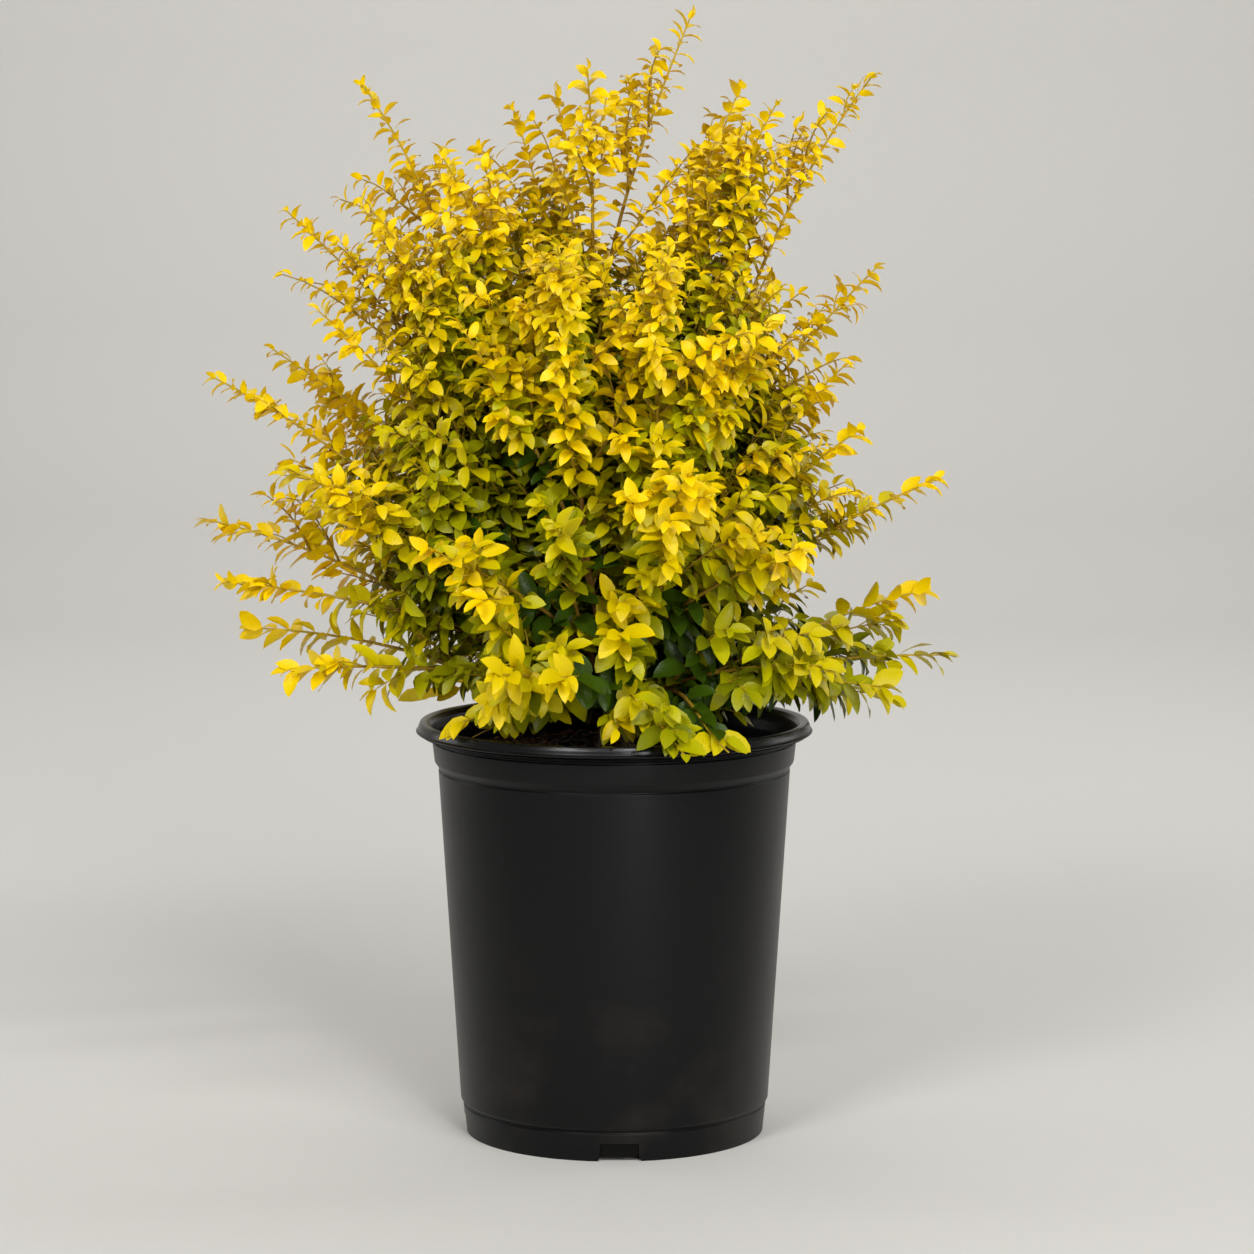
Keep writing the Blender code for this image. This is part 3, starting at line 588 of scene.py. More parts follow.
def daylight(points):
    """How much light reaches each point through the leaves, from 0 to 1, by rank.

    The points are counted in cells. From above and from each side the light falls off as e to the
    power of minus the leaves passed, and the sum over those ways is ranked. A way is an axis, whether
    the light goes forward along it, and a weight.
    """
    low = points.min(0) - CELL
    place = ((points - low) / CELL).astype(int)
    size = place.max(0) + 2
    flat = np.ravel_multi_index(place.T, size)
    leaves = np.bincount(flat, minlength=size.prod()).reshape(size) * LEAF_SHADE
    light = np.zeros(len(points))
    for axis, forward, weight in LIGHT_WAYS:
        passed = np.cumsum(leaves, axis)
        if not forward:
            passed = passed.max(axis, keepdims=True) - passed + leaves
        light += weight * np.exp(-(passed - leaves / 2)[tuple(place.T)])
    return np.argsort(np.argsort(light)) / len(light)


def tints_of(dice, spray, root):
    """Each leaf's tint, by spray: leaves in the sun turn gold, and those in the crown's own shade stay green,
    most low on the right, away from the sun, and in the hollows. The green is dark, partly as shaded privet
    leaves are and partly as painted shade of the crown's inside.
    """
    high, count = level(root), spray.max() + 1
    right, under = root[:, 0] / CORNER_SPAN, (CORNER_TOP - root[:, 2]) / CORNER_FADE
    corner = right.clip(0, 1) * under.clip(0, 1)
    bonus = LOW_LOSS * np.minimum(high - LOW_LEVEL, 0) + HIGH_GAIN * high + OUTER_GAIN * outer(root)
    bonus = bonus - CORNER_LOSS * corner
    leaves = np.maximum(np.bincount(spray, minlength=count), 1)
    lit = np.bincount(spray, daylight(root) + bonus, count) / leaves
    lit = np.maximum(lit, LEAST_LIT * np.bincount(spray, high, count) / leaves)
    tint = np.searchsorted(TINT_STEPS, lit + dice.normal(0, TINT_SCATTER, count))
    # Leaves in the hollows take the darkest green: partly the green of shaded leaves, partly painted shade of
    # the dark inside
    return np.where(in_hollows(root), 0, tint[spray])


@functools.cache
def crown(side_reach, twig_reach, leaf_size, seed):
    """Everything that grows from the limbs: side shoots, twigs and leaves, each as arrays."""
    dice = np.random.default_rng(seed)
    boughs, shoots = limbs()
    bough, main = np.stack(list(boughs.values())), np.concatenate(list(shoots.values()))
    side = np.concatenate([side_shoots(dice, main, side_reach), basal_shoots(dice, bough, side_reach)])
    side = side[clear_curves(side) & leaves_open(side)]
    twig = twigs_on(dice, side, side_reach, twig_reach)
    twig = twig[clear_curves(twig) & leaves_open(twig)]
    spray, root, heading, length = all_leaves(dice, main, side, twig)
    blades = held_leaves(dice, root, heading, length * leaf_size / (LOW_LEAF * MM))
    clear = off_the_pot(blades) & (blades[..., 2].min(1) > LOWEST_LEAF * MM)
    tint = tints_of(dice, spray, root)
    return {"side": side, "twig": twig, "blades": blades[clear], "tint": tint[clear]}


# Leaves

LEAF_ROWS = np.array((0.0, 0.07, 0.2, 0.42, 0.66, 0.87, 1.0))  # shares of the leaf's length
LEAF_HALF = np.array((0.0, 0.14, 0.76, 1.0, 0.88, 0.46, 0.0))  # shares of its half width
LEAST_CURL = 0.02  # radians, which keeps the arc's formula from dividing by nothing


def leaf_blades(root, heading, facing, length, width, curl, fold, wave):
    """The points of arched leaves, row by row: left edge, midrib and right edge, and one point at each end.

    The midrib is part of a circle that turns by the curl: length sin(curl t)/curl along the heading and
    length (cos(curl t)-1)/curl along the facing. An edge stands off it by the half width, turned up by
    the fold, with a slight wave.
    """
    t = LEAF_ROWS[None, :, None]
    bend = np.maximum(curl, LEAST_CURL)[:, None, None]
    size = length[:, None, None]
    ahead, up = heading[:, None], facing[:, None]
    rib = root[:, None] + size * (np.sin(bend * t) * ahead + (np.cos(bend * t) - 1) * up) / bend
    normal = np.sin(bend * t) * ahead + np.cos(bend * t) * up
    across = np.cross(facing, heading)[:, None]
    half = size * width[:, None, None] / 2 * LEAF_HALF[None, :, None]
    lift = fold[:, None, None]
    ripple = RIPPLE * np.sin(t * RIPPLE_TURN + wave[:, None, None])
    left = rib + half * (across * np.cos(lift) + normal * (np.sin(lift) + ripple))
    right = rib + half * (normal * (np.sin(lift) - ripple) - across * np.cos(lift))
    inner = np.stack([left, rib, right], 2)[:, 1:-1].reshape(len(root), -1, 3)
    return np.concatenate([rib[:, :1], inner, rib[:, -1:]], 1)


def leaf_faces():
    """A leaf's faces: two triangles at each end, and two four-cornered faces between rows."""
    last = 3 * (len(LEAF_ROWS) - 2) + 1
    ends = [(0, 2, 1), (0, 3, 2), (last, last - 3, last - 2), (last, last - 2, last - 1)]
    rows = [
        (row + side, row + side + 1, row + side + 4, row + side + 3)
        for row in range(1, last - 3, 3)
        for side in (0, 1)
    ]
    return [np.array(ends), np.array(rows)]


# Tubes

UPRIGHT = 0.8  # of a unit vector's height, past which a tube is turned from X and not from Z
FOOT_CAP, TIP_CAP = 0.3, 0.8  # how far a tube's ends bulge, in radii


def ring_faces(rings, sides):
    """The faces of a closed tube whose rings come first and whose two end points come last: four-cornered
    faces between the rings, and triangles round each end point.
    """
    ring, step = np.meshgrid(np.arange(rings - 1), np.arange(sides), indexing="ij")
    here, beside = ring * sides + step, ring * sides + (step + 1) % sides
    quads = np.stack([here, beside, beside + sides, here + sides], -1).reshape(-1, 4)
    rim = np.arange(sides)
    turned_rim = (rim + 1) % sides
    base = (rings - 1) * sides
    first = np.stack([np.full(sides, rings * sides), turned_rim, rim], 1)
    last = np.stack([np.full(sides, rings * sides + 1), base + rim, base + turned_rim], 1)
    return quads, np.concatenate([first, last])


def tubes(corners, radius, rings, sides):
    """Tapering tubes round curves, closed at both ends: the points, the faces of one, and the share of a
    turn and the length along for each point.

    A ring's points are its centre plus the radius times cos(a) one way and sin(a) the other, where both
    ways are square to the heading. The radius is a function of the share of the way, the angle and the
    length along.
    """
    share = np.linspace(0, 1, rings)
    centre = on_curve(corners[:, None], share[None])
    ahead = heading_on(corners[:, None], share[None])
    chord = unit(corners[:, 3] - corners[:, 0])
    upright = np.abs(chord[:, 2:]) >= UPRIGHT
    reference = unit(np.cross(chord, np.where(upright, (1.0, 0.0, 0.0), UP)))[:, None]
    one = unit(np.cross(reference, ahead))
    two = np.cross(ahead, one)
    angle = np.arange(sides) * math.tau / sides
    ring = one[:, :, None] * np.cos(angle)[:, None] + two[:, :, None] * np.sin(angle)[:, None]
    along = (lengths_of(corners)[:, None] * share[None])[:, :, None]
    thick = np.broadcast_to(radius(share[None, :, None], angle[None, None, :], along), ring.shape[:3])
    wall = centre[:, :, None] + ring * thick[..., None]
    start = centre[:, 0] - ahead[:, 0] * thick[:, 0, :1] * FOOT_CAP
    end = centre[:, -1] + ahead[:, -1] * thick[:, -1, :1] * TIP_CAP
    points = np.concatenate([wall.reshape(len(corners), -1, 3), start[:, None], end[:, None]], 1)
    places = np.stack(np.broadcast_arrays(angle / math.tau, along), -1).reshape(len(corners), -1, 2)
    return points, ring_faces(rings, sides), np.pad(places, ((0, 0), (0, 2), (0, 0)))


def taper(start, end):
    """A radius that runs evenly from start to end, in millimetres."""
    return lambda share, angle, along: (start + (end - start) * share) * MM


# Meshes and materials


def repeated(faces, points, count):
    """One shape's faces, numbered on for each of its copies."""
    shift = np.arange(count)[:, None, None] * points
    return (faces[None] + shift).reshape(-1, faces.shape[1])


def piece(name, points, faces, look, slot, *nodes):
    """A finished piece: its mesh from arrays, its material and its body; the solids that it stands for are
    hidden.

    The points are one table, or one for each copy of a shape, whose faces are then numbered on.
    """
    points = np.asarray(points, np.float32)
    if points.ndim == 3:
        faces = [repeated(some, points.shape[1], len(points)) for some in faces]
    mesh = bpy.data.meshes.new(name)
    mesh.vertices.add(points.size // 3)
    mesh.vertices.foreach_set("co", points.ravel())
    corners = np.concatenate([np.asarray(some, np.int32).ravel() for some in faces])
    sizes = np.concatenate([np.full(len(some), some.shape[1], np.int32) for some in faces])
    mesh.loops.add(len(corners))
    mesh.loops.foreach_set("vertex_index", corners)
    mesh.polygons.add(len(sizes))
    mesh.polygons.foreach_set("loop_start", (np.cumsum(sizes) - sizes).astype(np.int32))
    mesh.update(calc_edges=True)
    mesh.validate()
    mesh.shade_smooth()
    mesh.materials.append(look)
    made = bpy.data.objects.new(name, mesh)
    bpy.context.scene.collection.objects.link(made)
    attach(made, "root")
    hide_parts(*nodes)
    return made


def linear(code):
    """A hex colour, in sRGB as on a screen, as linear red, green and blue."""
    parts = [int(code[n : n + 2], 16) / 255 for n in (1, 3, 5)]
    return tuple(p / 12.92 if p <= 0.04045 else ((p + 0.055) / 1.055) ** 2.4 for p in parts)


def feed(look, node, inputs):
    """Gives a node's inputs their values, or links them to other nodes' sockets."""
    for name, value in inputs.items():
        if isinstance(value, bpy.types.NodeSocket):
            look.node_tree.links.new(value, node.inputs[name])
        else:
            node.inputs[name].default_value = value


def add_node(look, kind, inputs, output, stops=(), **options):
    """Adds a shader node with its options, inputs and colour stops, and gives one of its outputs."""
    node = look.node_tree.nodes.new("ShaderNode" + kind)
    for name, value in options.items():
        setattr(node, name, value)
    feed(look, node, inputs)
    for _ in stops[2:]:
        node.color_ramp.elements.new(0.5)
    for number, (place, colour) in enumerate(stops):
        element = node.color_ramp.elements[number]
        element.position = place
        element.color = (*colour, 1)
    return node.outputs[output]


def new_look(name, colour, inputs):
    """A Principled material and its shader, with constants on the shader's own sockets."""
    look = bpy.data.materials.new(name)
    look.use_nodes = True
    shader = look.node_tree.nodes["Principled BSDF"]
    feed(look, shader, {"Base Color": (*colour, 1), **inputs})
    return look, shader


def fine_relief(look, where, size, depth, **noise):
    """The normal of a fine relief: noise of a size and a depth in millimetres."""
    grain = add_node(look, "TexNoise", {"Vector": where, "Scale": 1 / (size * MM), **noise}, "Fac")
    return add_node(look, "Bump", {"Height": grain, "Distance": depth * MM}, "Normal")


def polythene_look(settings):
    """Blow-moulded black polythene (HDPE, IOR 1.54): a satin skin that soot and grit blast keep dull,
    faintly uneven from the mould, with a breath of dry dust low on the wall.
    """
    colour, rough = tuple(settings.colour), settings.roughness
    look, shader = new_look("moulded_black_polythene", colour, {"IOR": 1.54})
    where = add_node(look, "TexCoord", {}, "Object")

    # Dust gathers in clouds 60 mm across, below 160 mm
    cloud_size = {"Vector": where, "Scale": 1 / (60 * MM), "Detail": 3.0, "Roughness": 0.6}
    cloud = add_node(look, "TexNoise", cloud_size, "Fac")
    dusty = add_node(look, "MapRange", {"Value": cloud, "From Min": 0.5, "From Max": 0.85}, "Result")
    high = add_node(look, "SeparateXYZ", {"Vector": where}, "Z")
    low = add_node(look, "MapRange", {"Value": high, "From Min": 160 * MM, "From Max": 0.0}, "Result")
    amount = add_node(look, "Math", {0: dusty, 1: low}, "Value", operation="MULTIPLY")
    dust = add_node(look, "MapRange", {"Value": amount, "To Max": 0.35}, "Result")
    ends = {"Factor": dust, "A": (*colour, 1), "B": (*linear("#4a4038"), 1)}
    shade = add_node(look, "Mix", ends, "Result", data_type="RGBA")
    worn = {"Value": cloud, "To Min": rough - 0.05, "To Max": rough + 0.09}
    matt = add_node(look, "MapRange", worn, "Result")

    # The rolled rim is smoother than the wall, as the mould's lip isn't blasted
    rim = {"Value": high, "From Min": (RIM_TOP - 7) * MM, "From Max": (RIM_TOP - 4) * MM}
    smooth = add_node(look, "MapRange", {**rim, "To Min": 1.0, "To Max": 0.72}, "Result")
    matt = add_node(look, "Math", {0: matt, 1: smooth}, "Value", operation="MULTIPLY")
    gloss = add_node(look, "MapRange", {**rim, "To Min": 0.16, "To Max": 0.32}, "Result")

    # The grit blast of the mould, 0.1 mm in truth, is drawn as coarse as shows
    grit = fine_relief(look, where, 0.9, 0.06, Detail=3.0)
    feed(look, shader, {"Base Color": shade, "Roughness": matt, "Specular IOR Level": gloss})
    feed(look, shader, {"Normal": grit})
    return look


def mix_look(settings):
    """Composted bark mix: damp, crumbling and dull, red-brown with black and a few pale fibres. Low down it
    is painted almost black, partly for damp and partly as painted shade in the drain slots.
    """
    damp = tuple(settings.colour)
    look, shader = new_look("composted_bark_mix", damp, {"Roughness": 0.95, "IOR": 1.4})
    where = add_node(look, "TexCoord", {}, "Object")
    lumps = {"Vector": where, "Scale": 1 / (4 * MM), "Detail": 4.0, "Roughness": 0.65}
    crumbs = add_node(look, "TexNoise", lumps, "Fac")
    shades = ((0.3, linear("#120b08")), (0.5, damp), (0.66, linear("#603515")), (0.8, linear("#8a6a48")))
    colour = add_node(look, "ValToRGB", {"Fac": crumbs}, "Color", stops=shades)

    # Down in the pot it is painted almost black: partly damp, partly painted shade where the drain slots show
    # it
    high = add_node(look, "SeparateXYZ", {"Vector": where}, "Z")
    damp_and_shade_span = {"Value": high, "From Min": 180 * MM, "From Max": 260 * MM}
    dry_and_unshaded_share = add_node(look, "MapRange", damp_and_shade_span, "Result")
    ends = {"Factor": dry_and_unshaded_share, "A": (*linear("#070504"), 1), "B": colour}
    shade = add_node(look, "Mix", ends, "Result", data_type="RGBA")
    grains = fine_relief(look, where, 1.6, 1.2, Detail=4.0, Roughness=0.7)
    feed(look, shader, {"Base Color": shade, "Normal": grains})
    return look


def bark_look(settings):
    """Young privet bark: grey-brown and matt, drawn out along the stem, with pale corky pores."""
    brown = tuple(settings.colour)
    look, shader = new_look("privet_bark", brown, {"Roughness": 0.8, "IOR": 1.45})
    where = add_node(look, "UVMap", {}, "UV")
    drawn_out = add_node(look, "Mapping", {"Vector": where, "Scale": (0.02, 0.25, 1)}, "Vector")
    streaks = {"Vector": drawn_out, "Scale": 1 / (0.7 * MM), "Detail": 4.0, "Roughness": 0.6}
    grain = add_node(look, "TexNoise", streaks, "Fac")
    shades = ((0.3, linear("#3a2717")), (0.52, brown), (0.75, linear("#8f7a5c")))
    colour = add_node(look, "ValToRGB", {"Fac": grain}, "Color", stops=shades)

    # A pore stands in the middle of each cell of 3.2 mm
    place = add_node(look, "TexCoord", {}, "Object")
    apart = add_node(look, "TexVoronoi", {"Vector": place, "Scale": 1 / (3.2 * MM)}, "Distance")
    pore = add_node(look, "MapRange", {"Value": apart, "From Min": 0.2, "From Max": 0.12}, "Result")
    ends = {"Factor": pore, "A": colour, "B": (*linear("#b39a75"), 1)}
    shade = add_node(look, "Mix", ends, "Result", data_type="RGBA")
    relief = add_node(look, "Bump", {"Height": grain, "Distance": 0.5 * MM}, "Normal")
    feed(look, shader, {"Base Color": shade, "Normal": relief})
    return look


def plain_look(name, colour, finish, size, depth, **noise):
    """A material of one colour with a fine relief, of a size and a depth in millimetres."""
    look, shader = new_look(name, colour, finish)
    where = add_node(look, "TexCoord", {}, "Object")
    feed(look, shader, {"Normal": fine_relief(look, where, size, depth, **noise)})
    return look


def chip_look(name, code):
    """Shredded conifer bark: dull, fibrous along its length, damp enough to stay dark."""
    dull = {"Roughness": 0.88, "IOR": 1.45}
    return plain_look(name, linear(code), dull, 0.8, 0.4, Detail=3.0, Roughness=0.7)


def stem_look(name, colour, roughness):
    """A shoot's smooth skin: waxy and finely ribbed."""
    return plain_look(name, colour, {"Roughness": roughness, "IOR": 1.45}, 0.9, 0.2, Detail=3.0)


def leaf_look(name, colour, age):
    """Privet leaf: a waxy cuticle over a soft blade, glossy where it is old and green, satin where young.

    The colour is plain, as each tint is a piece of its own. The veins are 0.2 mm apart in truth and are
    drawn as a fine unevenness of 1.5 mm.
    """
    wax = {"Roughness": 0.36 - 0.06 * age, "IOR": 1.42, "Specular IOR Level": 0.3}
    return plain_look(name, colour, wax, 1.5, 0.3, Detail=2.0)


# Settings

COLOUR = {"subtype": "COLOR", "size": 3, "min": 0, "max": 1}
LENGTH = {"subtype": "DISTANCE", "unit": "LENGTH"}


class PotSettings(bpy.types.PropertyGroup):
    """Sizes and finish of the pot"""

    colour: FloatVectorProperty(
        name="Colour", description="Colour of the polythene", default=linear("#0c0c0d"), **COLOUR
    )
    roughness: FloatProperty(
        name="Roughness", description="How matt it is", subtype="FACTOR", min=0.1, max=0.9, default=0.34
    )
    steps: IntProperty(
        name="Steps", description="Straight steps round the pot", min=48, max=360, default=224
    )
    edge: FloatProperty(
        name="Edge radius",
        description="Rounding of the edges",
        min=0.0001,
        max=0.002,
        default=0.0007,
        **LENGTH,
    )


class MixSettings(bpy.types.PropertyGroup):
    """Relief and colour of the potting mix"""

    colour: FloatVectorProperty(
        name="Colour", description="Colour of the damp bark mix", default=linear("#3b200e"), **COLOUR
    )
    relief: FloatProperty(
        name="Relief", description="Rise and fall of the surface", min=0, max=0.01, default=0.0022, **LENGTH
    )
    chips: IntProperty(
        name="Chips", description="Bark chips of each dark colour on the mix", min=0, max=3000, default=700
    )


class WoodSettings(bpy.types.PropertyGroup):
    """Bark of the trunk and boughs, and skin of the shoots"""

    colour: FloatVectorProperty(
        name="Bark", description="Colour of the bark", default=linear("#6a5238"), **COLOUR
    )
    shoot: FloatVectorProperty(
        name="Shoots", description="Colour of the ripened shoots", default=linear("#7d5718"), **COLOUR
    )
    young: FloatVectorProperty(
        name="Young twigs", description="Colour of this year's twigs", default=linear("#b59a1a"), **COLOUR
    )
    relief: FloatProperty(
        name="Bark relief",
        description="Share of a limb's radius that its ridges stand out by",
        subtype="FACTOR",
        min=0,
        max=0.4,
        default=0.1,
    )


class LeafSettings(bpy.types.PropertyGroup):
    """Size, growth and tints of the leaves"""

    size: FloatProperty(
        name="Leaf length",
        description="Length of the largest leaves, which grow lowest",
        min=0.01,
        max=0.06,
        default=LOW_LEAF * MM,
        **LENGTH,
    )
    side_reach: FloatProperty(
        name="Side shoots", description="Length of the longest", min=0.02, max=0.3, default=0.12, **LENGTH
    )
    twig_reach: FloatProperty(
        name="Twigs", description="Length of the longest", min=0.01, max=0.1, default=0.036, **LENGTH
    )
    gold: FloatVectorProperty(
        name="Gold", description="Leaves in full light", default=linear("#f2cf00"), **COLOUR
    )
    lime: FloatVectorProperty(
        name="Lime", description="Leaves in half shade", default=linear("#b2ae04"), **COLOUR
    )
    # A dark green: partly the real colour of shaded leaves, partly painted shade of the crown's inside
    green: FloatVectorProperty(
        name="Green", description="Leaves in full shade", default=linear("#354c07"), **COLOUR
    )


class StageSettings(bpy.types.PropertyGroup):
    """Floor and light"""

    floor: FloatVectorProperty(
        name="Floor", description="Colour of the floor and backdrop", default=linear("#d9d7d2"), **COLOUR
    )
    light: FloatProperty(
        name="Light", description="Share of the usual light", subtype="FACTOR", min=0, max=3, default=1.0
    )


SETTINGS = {
    "privet_pot": PotSettings,
    "privet_mix": MixSettings,
    "privet_wood": WoodSettings,
    "privet_leaves": LeafSettings,
    "privet_stage": StageSettings,
}


# Pot

# The rim's outline, from its shoulder over the crest to the lip, from the rim's radius and top
RIM_OUTLINE = ((-11.0, -4.0), (-8.6, -1.0), (-6.0, 0.0), (-3.0, -0.4), (-1.8, -3.0), (-1.2, -5.7))
LIP_OUTLINE = ((0.0, -6.7), (0.0, -7.2), (-1.0, -8.0))
CORNER_SHARE, CORNER_STEPS = 0.42, 5  # the most of a side that its corner takes, and points on an arc
SHARP_FROM = math.radians(38)


def rounded(profile, radius):
    """An outline whose corners are arcs: from a tangent length before each corner to the same after it,
    a quadratic Bezier weighted by (1-t)^2, 2(1-t)t and t^2. The ends stay.
    """
    profile = np.array(profile, float)
    before, corner, after = profile[:-2], profile[1:-1], profile[2:]
    back, on = before - corner, after - corner
    cut = np.minimum(np.linalg.norm(back, axis=1), np.linalg.norm(on, axis=1)) * CORNER_SHARE
    cut = np.minimum(cut, radius)[:, None]
    start, end = corner + unit(back) * cut, corner + unit(on) * cut
    t = np.linspace(0, 1, CORNER_STEPS)[None, :, None]
    arc = start[:, None] * (1 - t) ** 2 + 2 * corner[:, None] * (1 - t) * t + end[:, None] * t**2
    return np.concatenate([profile[:1], arc.reshape(-1, 2), profile[-1:]])


def turned(profile, steps):
    """A profile of radius and height in millimetres turned round Z, from its top centre down to its
    bottom centre: radius times cos and sin of the angle. The two end points, on the axis, come last.
    """
    angle = np.arange(steps) * math.tau / steps
    radius, height = profile[1:-1].T[:, :, None] * MM
    wall = np.stack(np.broadcast_arrays(radius * np.cos(angle), radius * np.sin(angle), height), -1)
    ends = np.array(((0, 0, profile[0, 1]), (0, 0, profile[-1, 1]))) * MM
    quads, fans = ring_faces(len(radius), steps)
    return np.concatenate([wall.reshape(-1, 3), ends]), [quads[:, (0, 3, 2, 1)], fans[:, (0, 2, 1)]]


def inner_wall(clearance):
    """The pot's inside from its floor to its collar, drawn in by a clearance."""
    outer = ((FOOT_RADIUS, FLOOR), (WALL_TOP_RADIUS, WALL_TOP), (COLLAR_RADIUS, COLLAR_FOOT))
    inside = [(radius - WALL - clearance, height) for radius, height in outer]
    inside[0] = (inside[0][0], FLOOR + clearance)
    return inside


def pot_profile():
    """The pot's outline from the middle of its floor, up the inside, over the rim and down the outside.

    Creases lie under the rim, over the collar, at the wall's top and over the foot, where the mould's
    parts meet.
    """
    return [
        (0, FLOOR),
        *inner_wall(0),
        (COLLAR_RADIUS - WALL + 0.4, COLLAR_TOP - 2.5),
        (COLLAR_RADIUS - WALL + 1.6, COLLAR_TOP + 4.0),
        *((RIM_RADIUS + out, RIM_TOP + up) for out, up in RIM_OUTLINE + LIP_OUTLINE),
        *crease(RIM_RADIUS - 3.0, RIM_TOP - 8.2),
        (COLLAR_RADIUS + 2.2, COLLAR_TOP + 2.0),
        *crease(COLLAR_RADIUS + 1.6, COLLAR_TOP + 1.0),
        (COLLAR_RADIUS, COLLAR_FOOT),
        *crease(WALL_TOP_RADIUS, WALL_TOP),
        (WALL_FOOT_RADIUS, WALL_FOOT),
        *crease(FOOT_TOP_RADIUS, FOOT_TOP),
        (FOOT_RADIUS, 0),
        (0, 0),
    ]


def crease(radius, height):
    """The outline of a fine crease round the pot, from its upper edge to its lower one."""
    depth = radius - CREASE
    return [(depth + 0.3, height + 0.6), (depth, height), (depth + 0.1, height - 0.5), (radius, height - 1.1)]


def drain_cutter(number):
    """A block with rounded corners that flares at the ground, laid across the foot of the wall."""
    foot, top = DRAIN_FOOT_WIDTH / 2, DRAIN_TOP_WIDTH / 2
    left = np.array(((-foot - 1.5, -1.0), (-foot + 0.2, 0.6), (-top - 0.3, 2.8), (-top, DRAIN_HEIGHT)))
    outline = rounded(np.concatenate([left, left[::-1] * (-1, 1)]), DRAIN_ROUNDING)
    out = np.array((FOOT_RADIUS - DRAIN_DEPTH, FOOT_RADIUS + DRAIN_DEPTH))
    turn = DRAIN_TURN - math.pi / 2 + number * math.tau / DRAIN_SLOTS
    x = np.repeat(out, len(outline))
    y, z = np.tile(outline, (2, 1)).T
    c, s = math.cos(turn), math.sin(turn)
    points = np.stack([x * c - y * s, x * s + y * c, z], 1)
    count = len(outline)
    here = np.arange(count)
    following = (here + 1) % count
    walls = np.stack([here + count, following + count, following, here], 1)
    mesh = bpy.data.meshes.new(f"drain_cutter_{number + 1}")
    caps = [tuple(range(count)), tuple(range(count, 2 * count))[::-1]]
    mesh.from_pydata((points * MM).tolist(), [], [*walls.tolist(), *caps])
    mesh.update()
    made = bpy.data.objects.new(mesh.name, mesh)
    bpy.context.scene.collection.objects.link(made)
    return made


class PRIVET_OT_pot(bpy.types.Operator):
    """Thin moulded pot with a rolled rim, a collar, a stepped foot and drain slots"""

    bl_idname = "privet.pot"
    bl_label = "Pot"

    def execute(self, context):
        settings = context.scene.privet_pot
        points, faces = turned(rounded(pot_profile(), settings.edge / MM), settings.steps)
        pot = piece("nursery_pot", points, faces, polythene_look(settings), "pot", "pot")
        cutters = [drain_cutter(number) for number in range(DRAIN_SLOTS)]
        for cutter in cutters:
            cut = pot.modifiers.new(cutter.name, "BOOLEAN")
            cut.operation = "DIFFERENCE"
            cut.object = cutter
        context.view_layer.update()
        graph = context.evaluated_depsgraph_get()
        mesh = bpy.data.meshes.new_from_object(pot.evaluated_get(graph))
        pot.modifiers.clear()
        pot.data = mesh
        for cutter in cutters:
            bpy.data.objects.remove(cutter)
        mesh.shade_smooth()
        mesh.set_sharp_from_angle(angle=SHARP_FROM)
        return {"FINISHED"}


# Potting mix

MIX_RINGS, MIX_STEPS = 72, 192
MIX_WAVES, LONGEST_WAVE, SHORTEST_WAVE = 46, 46, 3.5  # their number, and lengths in millimetres
MIX_HILL, MIX_LEVEL = 30, 125.0  # millimetres from the axis where its rise begins and ends to fall
MIX_SUNK, MIX_EDGE, MIX_EDGE_SUNK = 0.6, 6, 1.0  # millimetres: under its level, from the wall, and at it
RELIEF_SHARE = 0.55  # of the setting, as the waves together rise to about 2
CHIPS = (  # name, colour, and what the usual number is divided by
    ("dark", "#20130d", 1),
    ("red", "#55301c", 1),
    ("tan", "#7d5a38", 4),
)
CHIP_SKEW, CHIP_SPREAD, CHIP_LENGTHS = 0.45, (3.0, 1.9), (2.2, 15)  # the shape and scale of a gamma spread
CHIP_WIDTHS, CHIP_HEIGHTS, CHIP_LIFTS = (0.22, 0.5), (0.7, 2.0), (-0.3, 1.1)
CHIP_TIP, CHIP_ROLL, CHIP_CLEARANCE = 0.22, 0.3, 1.5  # radians, and millimetres to the wall


def ground_relief(x, y, dice):
    """Uneven ground: a sum of waves in all directions, longer ones higher, with a spread of about 0.7."""
    lengths = np.geomspace(LONGEST_WAVE, SHORTEST_WAVE, MIX_WAVES)
    turn, phase = dice.uniform(0, math.tau, (2, MIX_WAVES))
    way = x[:, None] * np.cos(turn) + y[:, None] * np.sin(turn)
    waves = np.sin(way * math.tau / lengths + phase)
    height = lengths / LONGEST_WAVE
    return (waves * height**0.8).sum(-1) / np.sum(height**1.6) ** 0.5


def mix_height(x, y):
    """The mix's own level in millimetres: highest near the stem, and level with the collar at the wall."""
    share = ((np.hypot(x, y) - MIX_HILL) / (MIX_LEVEL - MIX_HILL)).clip(0, 1)
    return SOIL_TOP + SOIL_RISE * (1 - share)


def mix_bed(dice, relief):
    """The mix as a profile turned round the axis, whose top is then raised by its level and relief."""
    side, edge = inner_wall(GAP), COLLAR_RADIUS - WALL - GAP
    top = [(radius, SOIL_TOP) for radius in np.linspace(0, edge, MIX_RINGS)[:-1]]
    profile = np.array([*top, (edge, SOIL_TOP - MIX_EDGE_SUNK), *reversed(side), (0, side[0][1])])
    points, faces = turned(profile, MIX_STEPS)
    flat = points[: (len(top) - 1) * MIX_STEPS]
    x, y = flat[:, 0] / MM, flat[:, 1] / MM
    fade = ((edge - np.hypot(x, y)) / MIX_EDGE).clip(0, 1)
    rise = ground_relief(x, y, dice) * relief / MM * RELIEF_SHARE
    flat[:, 2] = (mix_height(x, y) - MIX_SUNK + rise * fade) * MM
    points[-2, 2] = flat[:MIX_STEPS, 2].mean()
    return points, faces


